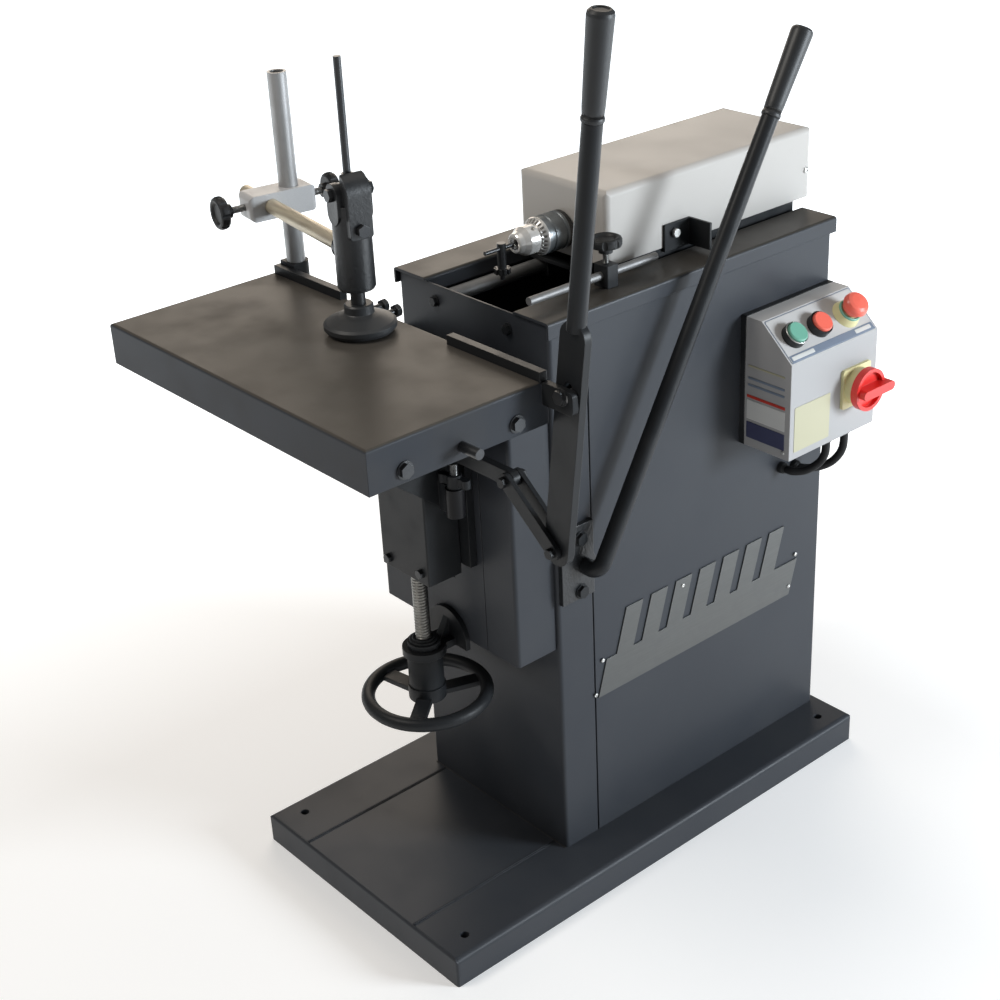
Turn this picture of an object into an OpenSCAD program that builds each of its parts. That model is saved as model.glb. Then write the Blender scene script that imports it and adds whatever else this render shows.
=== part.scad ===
// Horizontal boring machine with a lever-fed motor head, a lever-moved lifting table and a hold-down clamp.
// Millimetres, +Z up, +X to the lever side, +Y from the table to the motor.
// The origin is at the centre of the base, on the floor.

/* [Base] */
// Width of the base across the machine
base_w = 484; // [440:1:560]
// Length of the base from table end to motor end
base_l = 895; // [860:1:1000]
// Height of the base
base_h = 50; // [36:1:70]
// Width of each folded side channel
channel_w = 105; // [85:1:120]
// Sheet thickness of the base
base_sheet = 4; // [3:0.5:6]
// Open seam between a channel and the plate beside it
base_seam = 0.8; // [0.4:0.1:0.9]
// Outer bend radius of the channels
base_bend = 9; // [6:0.5:14]
// Outer bend radius of the centre tray and of the channels' inner edges
base_edge = 4; // [3:0.5:4]
// Height of the centre tray's side folds
tray_h = 24; // [16:1:34]
// Diameter of the floor anchor holes
anchor_d = 14; // [10:0.5:18]
// Distance of an anchor hole from the side of the base
anchor_side = 37; // [28:1:50]
// Distance of an anchor hole from the end of the base
anchor_end = 46; // [34:1:70]

/* [Column] */
// Width of the column
col_w = 328; // [316:1:350]
// Length of the column
col_l = 590; // [540:1:605]
// Height of the top rails above the floor
col_top = 940; // [910:1:980]
// Distance from the front of the base to the column
col_setback = 291; // [285:1:320]
// Sheet thickness of the column
col_sheet = 3; // [2:0.5:4]
// Outer bend radius of the column sheets
col_bend = 6; // [4.5:0.5:9]
// Length of the front panel's side returns
front_return = 68; // [64:1:90]
// Open seam between the front panel and the shell
col_seam = 3; // [1.5:0.5:5]
// Width of the joint strip behind the seam
joint_strip = 40; // [24:1:60]
// Drop of the front and rear wall edges below the rails
wall_drop = 7; // [5:0.5:12]
// Width of a top rail
rail_w = 73; // [66:1:75]
// Height of a top rail
rail_h = 24; // [18:1:26]
// Sheet thickness of the top rails
rail_sheet = 4; // [3:0.5:5]
// Overhang of the top rails past the column
rail_lip = 5; // [4.5:0.5:8]

/* [Mast] */
// Width of the mast in front of the column
mast_w = 314; // [300:1:315]
// Depth of the mast
mast_d = 75; // [66:1:84]
// Height of the mast's lower edge above the floor
mast_low = 418; // [410:1:430]
// Height of the mast's upper edge above the floor
mast_top = 850; // [848:1:858]
// Sheet thickness of the mast
mast_sheet = 4; // [3:0.5:5]
// Outer bend radius of the mast
mast_bend = 6; // [5.5:0.5:10]
// Width of the slot that guides the knee
slot_w = 40; // [30:1:50]
// Distance of the pressed seams from the middle of the mast
mast_seam_x = 88; // [80:1:110]
// Width and depth of a pressed seam
mast_seam = 1.6; // [1:0.1:2]

/* [Knee] */
// Downward travel of the knee
knee_down = 80; // [50:1:84]
// Upward travel of the knee
knee_up = 40; // [20:1:44]
// Width of the knee box
knee_box_w = 110; // [100:1:116]
// Depth of the knee box
knee_box_d = 62; // [56:1:66]
// Height of the knee box's lower edge above the floor
knee_box_low = 545; // [540:1:560]
// Wall of the knee box
knee_wall = 4; // [3:0.5:6]
// Width of the knee's sliding plate
slide_w = 150; // [140:1:164]
// Thickness of the knee's sliding plate
slide_t = 12.7; // [10:0.1:14]
// Height of the sliding plate's lower edge above the floor
slide_low = 560; // [552:1:580]
// Length of the guide key in the mast slot
key_l = 200; // [160:1:204]
// Height of the guide key's lower end above the floor
key_low = 600; // [590:1:604]
// Width of the retainer plate behind the mast wall
retainer_w = 90; // [70:1:110]
// Thickness of the retainer plate
retainer_t = 8; // [6:0.5:10]
// Thickness of the gusset plates
gusset_t = 6; // [4:0.5:8]
// Height of a gusset's rear foot above the floor
gusset_low = 640; // [610:1:670]
// Height of a gusset at its front end
gusset_nose = 18; // [12:1:26]
// Width of the knee's top plate
knee_top_w = 240; // [220:1:280]
// Thickness of the knee's top plate
knee_top_t = 8; // [6:0.5:10]
// Diameter of the lock boss
boss_d = 28; // [24:1:32]
// Distance of the lock boss from the knee's middle
boss_x = 92; // [90:1:96]
// Length of the lock boss
boss_h = 44; // [38:1:46]
// Diameter of the lock stud
stud_d = 12; // [10:0.5:14]
// Length of the lock stud above the boss
stud_h = 37; // [30:1:38]
// Span of the wing nut
wing_span = 56; // [44:1:58]

/* [Lift screw and handwheel] */
// Diameter of the lift screw
screw_d = 24; // [20:0.5:26]
// Height of the screw bracket's arm above the floor
bracket_z = 402; // [396:1:405]
// Thickness of the screw bracket
bracket_t = 12; // [10:0.5:16]
// Outer diameter of the screw bracket's ring
bracket_ring_d = 67; // [60:1:74]
// Diameter of the nut's neck in the bracket
neck_d = 40; // [36:0.5:44]
// Diameter of the nut's body
nut_d = 54; // [50:1:60]
// Height of the nut's body
nut_h = 55; // [46:1:60]
// Diameter of the nut's upper collar
collar_d = 50; // [46:1:56]
// Height of the nut's upper collar
collar_h = 9; // [6:0.5:12]
// Mean diameter of the handwheel rim
wheel_d = 182; // [160:1:190]
// Thickness of the handwheel rim
rim_d = 21; // [16:0.5:24]
// Height of the handwheel hub
hub_h = 22; // [18:1:26]
// Width of a handwheel spoke
spoke_w = 24; // [18:1:30]
// Thickness of a handwheel spoke
spoke_t = 8; // [6:0.5:11]

/* [Table] */
// Width of the table
table_w = 592; // [560:1:620]
// Depth of the table
table_d = 286; // [276:1:300]
// Height of the table's apron
table_h = 60; // [54:1:66]
// Height of the table's upper face above the floor
table_z = 935; // [932:1:940]
// Gap between the table's rear edge and the column
table_gap = 122; // [118:1:126]
// Sheet thickness of the table
table_sheet = 4; // [3:0.5:6]
// Edge radius of the table's folds
table_bend = 4.5; // [3:0.5:6]
// Sideways travel of the table to each side
table_travel = 60; // [40:1:64]
// Diameter of the table's guide rods
table_rod_d = 20; // [16:0.5:24]
// Distance between the guide rods
table_rod_span = 178; // [160:1:190]
// Distance of the rear guide rod from the table's rear edge
table_rod_edge = 53.5; // [46:0.5:60]
// Height of the guide rods above the apron's lower edge
table_rod_up = 17; // [15:0.5:20]
// Distance of the bearing blocks from the middle of the table
saddle_x = 90; // [76:1:96]
// Length of a bearing block
saddle_l = 44; // [34:1:46]
// Width of a bearing block
saddle_w = 40; // [34:1:46]
// Height of a fence bar
fence_h = 13; // [9:0.5:18]
// Width of a fence bar
fence_w = 12; // [8:0.5:16]
// Length of the left fence bar
fence_left = 164; // [130:1:180]
// Length of the right fence bar
fence_right = 184; // [150:1:200]
// Depth of the seats that the fence bars lie in
fence_seat = 1.5; // [1:0.1:2]
// Length of the stub pin on the right apron
stub_l = 34; // [26:1:48]
// Diameter of the stub pin
stub_d = 14; // [12:0.5:20]

/* [Table lever] */
// Distance of the lower link pin outside the table's side
low_pin_out = 4; // [0:1:8]
// Height of the lower link pin above the floor
low_pin_z = 690; // [684:1:696]
// Distance of the upper link pin from the lower one, across the machine
up_pin_in = 90; // [84:1:96]
// Height of the upper link pin above the floor
up_pin_z = 763; // [760:1:770]
// Lean of the table lever
lever_lean = 7.9; // [6:0.1:9.5]
// Distance from the lower link pin to the table pin
lever_arm = 238; // [232:1:242]
// Length of the table lever above the lower link pin
lever_l = 722; // [660:1:780]
// Length of the lever's flat bar
flat_l = 338; // [320:1:370]
// Width of the lever's flat bar
flat_w = 45; // [38:1:50]
// Thickness of the lever's flat bar
flat_t = 12; // [8:0.5:14]
// Length of the clearance slot for the table pin
pin_slot = 9; // [8:0.5:14]
// Side clearance of the table pin in its slot
pin_play = 1; // [0.8:0.1:2]
// Diameter of the link and table pins
pin_d = 12; // [10:0.5:14]
// Width of the link plates
link_w = 23; // [21:1:30]
// Thickness of the link plates
link_t = 7; // [5:0.5:9]
// Thickness of the lug on the table
lug_t = 10; // [8:0.5:14]
// Diameter of the lever tubes
tube_d = 25.4; // [22:0.2:28]
// Length of a hand grip
grip_l = 130; // [110:1:145]
// Diameter of a hand grip
grip_d = 33; // [30:0.5:38]

/* [Feed lever] */
// Distance of the feed shaft behind the column's front
feed_y = 48; // [44:1:49]
// Height of the feed shaft above the floor
feed_z = 548; // [538:1:556]
// Backward lean of the feed lever
feed_lean = 30.3; // [28:0.1:32]
// Length of the feed lever
feed_l = 819; // [740:1:860]
// Diameter of the feed shaft
shaft_d = 20; // [18:0.5:22]
// Length of the feed lever's straight foot
foot_out = 12; // [6:0.5:20]
// Bend radius of the feed lever's foot
foot_bend = 18; // [15:0.5:22]
// Height of the fork pin above the floor
fork_pin_z = 850; // [840:1:860]
// Side clearance of the fork pin
fork_play = 3.4; // [3:0.1:5]
// Thickness of the inner feed arm
arm_t = 10; // [8:0.5:12]
// Width of the inner feed arm
arm_w = 40; // [36:1:46]
// Thickness of the lever bracket
lever_bracket_t = 8; // [6:0.5:10]

/* [Motor head] */
// Travel of the motor carriage up to the depth stop
feed_travel = 90; // [60:1:92]
// Distance of the guide rods from the middle of the column
guide_x = 80; // [74:1:81]
// Drop of the guide rods below the rails
guide_drop = 32; // [31:0.5:36]
// Diameter of the guide rods
guide_d = 22; // [16:0.5:22.5]
// Size of a carriage bearing block
block_w = 30; // [28:1:30]
// Length of a carriage bearing block
block_l = 50; // [40:1:60]
// Thickness of the carriage plate
carriage_t = 6; // [4:0.5:7]
// Front end of the carriage behind the column's front
carriage_y = 195; // [190:1:198]
// Length of the carriage
carriage_l = 388; // [350:1:390]
// Height of the carriage's side walls
carriage_wall_h = 50; // [40:1:60]
// Height of the spindle above the rails
spindle_up = 50; // [47:1:56]
// Diameter of the motor
motor_d = 116; // [104:1:118]
// Length of the motor
motor_l = 330; // [280:1:350]
// Width of the motor cover
cover_w = 185; // [178:1:187]
// Length of the motor cover
cover_l = 441; // [420:1:460]
// Height of the motor cover
cover_h = 110; // [106:1:130]
// Gap between the cover and the rails
cover_gap = 11.5; // [8:0.5:14]
// Sheet thickness of the motor cover
cover_sheet = 1.5; // [1:0.1:2]
// Edge radius of the motor cover
cover_bend = 9; // [5:0.5:14]
// Front end of the cover behind the column's front
cover_y = 180; // [176:1:184]

/* [Chuck] */
// Length of the chuck
chuck_l = 92; // [84:1:100]
// Outer diameter of the chuck
chuck_d = 57; // [50:1:60]
// Diameter of the chuck's front body
nose_d = 43; // [38:1:46]
// Diameter of the chuck's front end
tip_d = 29; // [25:1:33]
// Length of the chuck's outer sleeve
sleeve_l = 42; // [36:1:46]
// Number of teeth on the key ring
ring_teeth = 24; // [16:1:30]
// Depth of the key ring's teeth
tooth_h = 6; // [4:0.5:8]
// Diameter of the motor shaft
spindle_d = 19; // [16:0.5:24]
// Diameter of the key's cross bar
key_bar_d = 6.5; // [5:0.1:7]
// Length of the key's shank
key_shank = 46; // [36:1:48]

/* [Depth stop] */
// Distance of the stop rod from the middle of the machine
stop_x = 120; // [118:1:124]
// Height of the stop rod above the rail
stop_up = 17; // [14:0.5:20]
// Diameter of the stop rod
stop_d = 12; // [10:0.5:14]
// Length of the stop rod
stop_l = 245; // [200:1:248]
// Width of the stop block
stop_block_w = 28; // [24:1:32]
// Length of the stop block
stop_block_l = 22; // [18:1:26]
// Height of the stop block
stop_block_h = 33; // [30:1:45]
// Distance of the stop block behind the column's front
stop_block_y = 151; // [140:1:160]
// Distance of the stop angle behind the column's front
stop_angle_y = 293; // [288:1:296]
// Length of the stop angle
stop_angle_l = 55; // [50:1:60]
// Number of finger scallops round a hand knob
knob_scallops = 8; // [5:1:10]
// Diameter of a hand knob
knob_d = 48; // [42:1:52]
// Height of a hand knob
knob_h = 15; // [12:0.5:20]

/* [Hold-down clamp] */
// Diameter of the clamp post
post_d = 28; // [26:0.5:30]
// Distance of the post from the table's side
post_in = 24; // [20:1:34]
// Height of the post above the table
post_h = 297; // [280:1:320]
// Height of the clamp bar above the table
bar_up = 113; // [108:1:122]
// Diameter of the clamp bar
bar_d = 22; // [18:0.5:24]
// Turn of the clamp about its post
clamp_turn = 8.5; // [0:0.5:12]
// Reach of the clamp from the post to the plunger
clamp_reach = 269; // [230:1:300]
// Distance between the post and the bar in the block
cross_gap = 38; // [34:1:42]
// Length of the clamp bar behind the block
bar_tail = 46; // [38:1:70]
// Length of the clamp block
cross_l = 106; // [98:1:114]
// Width of the clamp block
cross_w = 42; // [40:1:48]
// Height of the clamp block
cross_h = 38; // [34:1:44]
// Distance of the bar's knob in front of the block
bar_knob_out = 30; // [20:1:36]
// Distance of the post's knob behind the block
post_knob_out = 26; // [14:1:32]
// Outer diameter of the clamp sleeve
sleeve_d = 52; // [46:1:56]
// Length of the clamp sleeve below its ears
sleeve_h = 116; // [104:1:122]
// Height of the clamp sleeve above the table
sleeve_up = 65; // [60:1:72]
// Diameter of the plunger
plunger_d = 20; // [16:0.5:22]
// Turn of the cam's lobe from straight down while the clamp is closed
cam_rest = 30; // [25:1:35]
// Diameter of the clamp's foot
foot_d = 100; // [84:1:110]
// Height of the clamp's foot
foot_h = 38; // [32:1:42]
// Gap between the foot and the table
foot_gap = 2.4; // [2.2:0.1:6]
// Diameter of the clamp lever's rod
clamp_rod_d = 10.5; // [8:0.5:12]
// Length of the clamp lever's rod
clamp_rod_l = 176; // [140:1:200]
// Throw of the cam on the clamp lever
cam_throw = 8; // [5:0.5:8]

/* [Control box] */
// Width of the control box
box_w = 200; // [190:1:205]
// Height of the control box
box_h = 211; // [200:1:230]
// Depth of the control box
box_d = 100; // [90:1:110]
// Depth of the control box at its top
box_top_d = 40; // [34:1:50]
// Height of the slanted panel
box_slant = 54; // [50:1:60]
// Depth of the frame behind the control box
box_back = 10; // [6:1:14]
// Sheet thickness of the control box
box_sheet = 1.5; // [1:0.1:2]
// Height of the control box above the floor
box_z = 627; // [600:1:650]
// Distance of the control box behind the column's front
box_y = 387; // [380:1:392]
// Outer diameter of a push button's collar
collar_out_d = 39; // [36:0.5:42]
// Diameter of a push button
button_d = 33; // [28:0.5:34]
// Height of a push button's collar
collar_up = 13; // [10:0.5:15]
// Travel of a push button
button_travel = 4; // [2:0.5:5]
// Diameter of the emergency button
mushroom_d = 41; // [36:0.5:44]
// Height of the emergency button's base
mushroom_base = 12; // [8:0.5:14]
// Travel of the emergency button
mushroom_travel = 5; // [3:0.5:6]
// Side of the main switch's square plate
switch_plate_w = 65; // [56:1:70]
// Diameter of the main switch's turning ring
switch_d = 68; // [58:1:70]
// Diameter of the control cables
cable_d = 13; // [10:0.5:14]

/* [Name plate] */
// Length of the plain plate on the column side
plate_l = 440; // [380:1:460]
// Height of the plate's lower band
plate_band = 62; // [50:1:74]
// Height of the plate's slanted bars
plate_bar_h = 74; // [60:1:90]
// Thickness of the plate
plate_t = 2; // [1:0.5:3]

/* [Fits] */
// Radial clearance of a sliding or turning fit
fit = 0.05; // [0.03:0.01:0.09]
// Gap between pieces that move past each other
gap = 0.4; // [0.3:0.05:0.6]
// Thickness of the gap that a washer fills
washer = 1; // [0.8:0.1:1.5]

/* [Hidden] */
$fn = 48;
far = 2000;
// Across-corners size of a hexagon bolt head, and its height
hex_d = 20;
small_hex_d = 15;
hex_h = 7;
// Column frame: y is 0 at the column's front face
col_y = -base_l / 2 + col_setback;
base_in = base_l / 2 - base_sheet;
wall_top = col_top - rail_sheet;
rail_out = col_w / 2 + rail_lip;
rail_in = rail_out - rail_w;
guide_z = col_top - guide_drop;
// Knee and table levels
apron_z = table_z - table_h;
table_rod_z = apron_z + table_rod_up;
table_y1 = -table_gap;
table_y0 = table_y1 - table_d;
fence_x = [[6 - table_w / 2, 6 - table_w / 2 + fence_left], [table_w / 2 - fence_right, table_w / 2]];
rod_y = [table_y1 - table_rod_edge, table_y1 - table_rod_edge - table_rod_span];
knee_top_z = apron_z - 5;
knee_plate_z = knee_top_z - knee_top_t;
slide_y1 = -mast_d - gap;
slide_y0 = slide_y1 - slide_t;
knee_box_y0 = slide_y0 - knee_box_d;
screw_y = slide_y0 - knee_box_d * 0.63;
knee_top_y0 = rod_y[1] - saddle_w / 2 - 10;
boss_y = slide_y0 - 33;
boss_z0 = gusset_low + (slide_y0 - boss_y) * 0.8;
// Plate in the knee box that carries the lift screw
lift_plate_drop = 80;
lift_plate_t = 12;
// Nut levels from the bracket
flange_w = 92;
flange_t = 8;
nut_low = bracket_z - gap - nut_h;
hub_low = nut_low - hub_h;
neck_top = bracket_z + bracket_t + gap;
// Lever planes: the table lever swings just behind the table's rear edge
lever_y0 = table_y1 + washer;
lever_y1 = lever_y0 + flat_t;
lever_y = lever_y0 + flat_t / 2;
lever_dir = [sin(lever_lean), cos(lever_lean)];
low_pin_x = table_w / 2 + low_pin_out;
up_pin_x = low_pin_x - up_pin_in;
table_pin = [low_pin_x + lever_arm * lever_dir[0], low_pin_z + lever_arm * lever_dir[1]];
// Feed arm and its fork pin at rest
feed_tube_x = col_w / 2 + lever_bracket_t + gap + foot_out + foot_bend;
fork_rise = fork_pin_z - feed_z;
fork_y = feed_y + fork_rise * tan(feed_lean);
fork_reach = fork_rise / cos(feed_lean);
bush_flange_d = shaft_d + 16;
arm_hub_wall = 11;
// Lever bracket: its reach below and above the shaft, along the side, its cut corner and its bolts
bracket_drop = 52;
bracket_rise = 70;
bracket_front = 3;
bracket_side = 66;
bracket_cut = 18;
bracket_bolts = [-40, 48];
bracket_bolt_y = 40;
stud_bolt_d = 10;
// Spindle line and motor head
spindle_z = col_top + spindle_up;
carriage_z = guide_z + block_w / 2 - 3;
cover_z = col_top + cover_gap;
// Feet of the motor: half their width, their length and their places from its two ends
motor_foot_x = 52;
motor_foot_l = 40;
motor_foot_in = [30, 130];
chuck_y1 = cover_y - 2;
chuck_y0 = chuck_y1 - chuck_l;
sleeve_y1 = chuck_y1 - 8;
sleeve_y0 = sleeve_y1 - sleeve_l;
jaw_bore_d = 18;
key_y = chuck_y0 - 24;
// Depth stop
stop_z = col_top + stop_up;
stop_y0 = 5;
// Hold-down clamp, in its own turned frame about the post
post_x = table_w / 2 - post_in;
post_y = table_y1 + post_d / 2 + 2;
socket_d = post_d + 8;
bar_z = table_z + bar_up;
sleeve_z0 = table_z + sleeve_up;
sleeve_z1 = sleeve_z0 + sleeve_h;
ear_h = 28;
cam_z = sleeve_z1 + 14;
cam_r = 13;
// Front cheek of the clamp: an arc round the cam that runs down into the sleeve
cheek_in = cam_r + cam_throw + 2;
cheek_out = cheek_in + 6;
cheek_z = sleeve_z1 - 44;
foot_z = table_z + foot_gap;
// Control box
box_x = col_w / 2;
box_y1 = box_y + box_w;
box_z1 = box_z + box_h;
slant_mid = [box_x + (box_top_d + box_d) / 2, box_z1 - box_slant / 2];
slant_angle = atan2(box_slant, box_d - box_top_d);
button_in = 35;
button_pitch = 57;
mushroom_in = 157;
switch_in = 149;
switch_rise = 80;
button_at = [box_y + button_in, box_y + button_in + button_pitch];
mushroom_at = box_y + mushroom_in;
switch_at = [box_y + switch_in, box_z + switch_rise];
panel_hole_d = 12;
panel_cut = 20;
handle_w = 15;
handle_out = 2;
// Cable routes: points of the two leads from the box's floor into the column side
gland_at = [[66, 174], [66, 130]];
entry_at = [[132, 540], [100, 548]];
cable_run = [
    [[66, 174, -22], [66, 174, -34], [65, 173, -48], [60, 170, -62], [51, 164, -75],
     [40, 156, -83], [28, 145, -87], [20, 137, -87], [12, 132, -87]],
    [[66, 130, -22], [66, 130, -32], [65, 129, -44], [60, 126, -57], [51, 120, -68],
     [40, 112, -76], [28, 104, -79], [20, 100, -79], [12, 100, -79]]];

// Places children in the column frame
module machine() translate([0, col_y, 0]) children();

// Block between two limits on each axis
module slab(x, y, z) translate([x[0], y[0], z[0]]) cube([x[1] - x[0], y[1] - y[0], z[1] - z[0]]);

// Rectangle between two corners with rounded corners
module round_rect(a, b, r) {
    translate([a[0] + r, a[1]]) square([b[0] - a[0] - 2 * r, b[1] - a[1]]);
    translate([a[0], a[1] + r]) square([b[0] - a[0], b[1] - a[1] - 2 * r]);
    for (x = [a[0] + r, b[0] - r], y = [a[1] + r, b[1] - r]) translate([x, y]) circle(r);
}

// Flat outline in y and z, extruded along x
module plate_yz(x0, x1) translate([x0, 0, 0]) rotate([90, 0, 90]) linear_extrude(x1 - x0) children();

// Flat outline in x and z, extruded along y
module plate_xz(y0, y1) translate([0, y1, 0]) rotate([90, 0, 0]) linear_extrude(y1 - y0) children();

// Flat outline in x and y, extruded upwards
module plate_xy(z0, z1) translate([0, 0, z0]) linear_extrude(z1 - z0) children();

// Round bars along each axis
module bar_x(d, x, y, z) translate([x[0], y, z]) rotate([0, 90, 0]) cylinder(d = d, h = x[1] - x[0]);
module bar_y(d, x, y, z) translate([x, y[1], z]) rotate([90, 0, 0]) cylinder(d = d, h = y[1] - y[0]);
module bar_z(d, x, y, z) translate([x, y, z[0]]) cylinder(d = d, h = z[1] - z[0]);

// Outline turned about the spindle's direction: points are [radius, y]
module turned_y(x, z) translate([x, 0, z]) rotate([-90, 0, 0]) rotate_extrude() children();

// Bar with round ends between two points of a plane
module round_bar(a, b, w) {
    along = b - a;
    translate(a) rotate(atan2(along[1], along[0])) union() {
        translate([0, -w / 2]) square([norm(along), w]);
        circle(d = w);
        translate([norm(along), 0]) circle(d = w);
    }
}

// Hexagon bolt head with a washer, standing on z = 0
module bolt_head(d = hex_d) {
    cylinder(d = d * 1.2, h = 1.6);
    cylinder(d = d, h = hex_h, $fn = 6);
}

// Folded side channel of the base: an inverted U with rounded outer bends
module channel_profile(x0, x1) {
    difference() {
        union() {
            round_rect([x0 + base_edge, 0], [x1, base_h], base_bend);
            round_rect([x0, 0], [x1 - base_bend, base_h], base_edge);
            translate([x0, 0]) square([x1 - x0, base_h / 2]);
        }
        translate([x0 + base_sheet, -1]) square([x1 - x0 - 2 * base_sheet, base_h - base_sheet + 1]);
    }
}

// Two side channels with a spacer tube under each anchor hole
module base_channels() color("#2a2c2f") difference() {
    at_x = base_w / 2 - anchor_side;
    at_y = base_l / 2 - anchor_end;
    union() {
        for (side = [0, 1]) mirror([side, 0, 0]) plate_xz(-base_in, base_in)
            channel_profile(base_w / 2 - channel_w, base_w / 2);
        for (x = [-at_x, at_x], y = [-at_y, at_y]) bar_z(anchor_d + 14, x, y, [0, base_h - base_sheet]);
    }
    for (x = [-at_x, at_x], y = [-at_y, at_y]) bar_z(anchor_d, x, y, [-1, base_h + 1]);
}

// Folded centre tray, and an end plate with rounded corners at each end
module base_plates() color("#2a2c2f") {
    half = base_w / 2 - channel_w - base_seam;
    plate_xz(-base_in, base_in) difference() {
        union() {
            round_rect([-half, base_h - tray_h], [half, base_h], base_edge);
            translate([-half, base_h - tray_h]) square([2 * half, tray_h / 2]);
        }
        translate([-half + base_sheet, 0]) square([2 * (half - base_sheet), base_h - base_sheet]);
    }
    for (side = [0, 1]) mirror([0, side, 0]) intersection() {
        plate_yz(-base_w / 2, base_w / 2) translate([base_in, 0]) {
            square([base_sheet, base_h - base_sheet]);
            translate([0, base_h - base_sheet]) intersection() {
                circle(base_sheet);
                square(base_sheet);
            }
        }
        plate_xz(0, base_l) {
            round_rect([-base_w / 2, 0], [base_w / 2, base_h], base_bend);
            translate([-base_w / 2, 0]) square([base_w, base_h / 2]);
        }
        plate_xy(0, base_h) round_rect([-base_w / 2, -base_l / 2], [base_w / 2, base_l / 2], base_sheet);
    }
}

// Front panel of the column: a U sheet with side returns and a cut upper edge
module column_front() color("#26292d") machine() difference() {
    plate_xy(base_h, wall_top) difference() {
        union() {
            round_rect([-col_w / 2, 0], [col_w / 2, front_return], col_bend);
            translate([-col_w / 2, front_return / 2]) square([col_w, front_return / 2]);
        }
        translate([-col_w / 2 + col_sheet, col_sheet]) square([col_w - 2 * col_sheet, front_return]);
    }
    slab([-rail_in, rail_in], [-1, col_sheet + 1], [col_top - wall_drop, col_top]);
    bar_x(shaft_d + 8 + 2 * fit, [-col_w, col_w], feed_y, feed_z);
}

// Side and rear walls with the joint strips behind the front seam
module column_shell() color("#3b4048") machine() difference() {
    shell_y = front_return + col_seam;
    strip = [shell_y - joint_strip / 2, shell_y + joint_strip / 2];
    union() {
        plate_xy(base_h, wall_top) difference() {
            union() {
                round_rect([-col_w / 2, shell_y], [col_w / 2, col_l], col_bend);
                translate([-col_w / 2, shell_y]) square([col_w, col_l / 2]);
            }
            translate([-col_w / 2 + col_sheet, 0]) square([col_w - 2 * col_sheet, col_l - col_sheet]);
        }
        for (x = [0, 1]) mirror([x, 0, 0])
            slab([col_w / 2 - 2 * col_sheet, col_w / 2 - col_sheet], strip, [base_h, wall_top - rail_h]);
    }
    slab([-rail_in, rail_in], [col_l - col_sheet - 1, col_l + 1], [col_top - wall_drop, col_top]);
    for (e = entry_at) bar_x(cable_d + 2 * fit, [0, col_w], box_y + e[0], e[1]);
    bar_x(bush_flange_d + 2, [-col_w, col_w], feed_y, feed_z);
}

// Folded caps along the top of the side walls
module top_rails() color("#2f3338") machine() for (side = [0, 1]) mirror([side, 0, 0]) difference() {
    plate_xz(-rail_lip, col_l + rail_lip) difference() {
        union() {
            round_rect([rail_in, col_top - rail_h], [rail_out, col_top], rail_lip);
            translate([rail_in, col_top - rail_h]) square([rail_w, rail_h / 2]);
        }
        translate([rail_in + rail_sheet, col_top - rail_h - 1])
            square([rail_w - 2 * rail_sheet, rail_h - rail_sheet + 1]);
    }
    for (y = [[-rail_lip - 1, col_sheet + gap], [col_l - col_sheet - gap, col_l + rail_lip + 1]])
        slab([rail_in - 1, rail_in + rail_sheet + 1], y, [0, wall_top]);
}

module guide_rods() color("silver") machine() for (x = [-guide_x, guide_x])
    bar_y(guide_d, x, [col_sheet, col_l - col_sheet], guide_z);

// Folded housing on the column's front that guides the knee
module mast() color("#24272a") machine() {
    slot_z = [key_low - knee_down - 3, key_low + key_l + knee_up + 3];
    difference() {
        plate_xy(mast_low, mast_top) difference() {
            union() {
                round_rect([-mast_w / 2, -mast_d], [mast_w / 2, 0], mast_bend);
                translate([-mast_w / 2, -mast_d / 2]) square([mast_w, mast_d / 2]);
            }
            translate([-mast_w / 2 + mast_sheet, -mast_d + mast_sheet]) square([mast_w - 2 * mast_sheet, mast_d]);
        }
        slab([-slot_w / 2 - gap, slot_w / 2 + gap], [-mast_d - 1, -mast_d + mast_sheet + 1], slot_z);
        for (x = [-1, 1]) slab([x * mast_seam_x - mast_seam / 2, x * mast_seam_x + mast_seam / 2],
            [-mast_d - 1, -mast_d + mast_seam], [0, far]);
    }
}

// Cast arm that holds the turning lift nut below the knee
module screw_bracket() color("#2c2f31") machine() difference() {
    union() {
        plate_xz(-mast_d - flange_t, -mast_d) {
            translate([0, bracket_z + bracket_t]) circle(d = flange_w);
            translate([-flange_w / 2, bracket_z]) square([flange_w, bracket_t]);
        }
        slab([-20, 20], [screw_y, -mast_d], [bracket_z, bracket_z + bracket_t]);
        bar_z(bracket_ring_d, 0, screw_y, [bracket_z, bracket_z + bracket_t]);
        plate_yz(-bracket_t / 2, bracket_t / 2) polygon([[-mast_d - flange_t, bracket_z + bracket_t],
            [-mast_d - flange_t, bracket_z + bracket_t + flange_w / 3],
            [screw_y + collar_d / 2 + 2, bracket_z + bracket_t]]);
    }
    slab([-flange_w, flange_w], [-mast_d - flange_t - 1, 1], [0, bracket_z]);
    bar_z(neck_d + 2 * fit, 0, screw_y, [0, far]);
}

// Cast plate on the column's side, with a sloping front corner, that carries the feed shaft
module lever_bracket() color("#34383c") machine() difference() {
    leg = [feed_z - bracket_drop, feed_z + bracket_rise];
    plate_yz(col_w / 2, col_w / 2 + lever_bracket_t) {
        polygon([[bracket_front, leg[0]], [bracket_side, leg[0]], [bracket_side, leg[1]],
            [bracket_front + bracket_cut, leg[1]], [bracket_front + bracket_cut / 2, leg[1] - 2 * bracket_cut],
            [bracket_front, leg[1] - 3 * bracket_cut]]);
        translate([feed_y, feed_z]) circle(d = shaft_d + 26);
    }
    bar_x(shaft_d + 2 * gap, [0, far], feed_y, feed_z);
    for (z = bracket_bolts) bar_x(stud_bolt_d, [0, far], bracket_bolt_y, feed_z + z);
}

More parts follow.
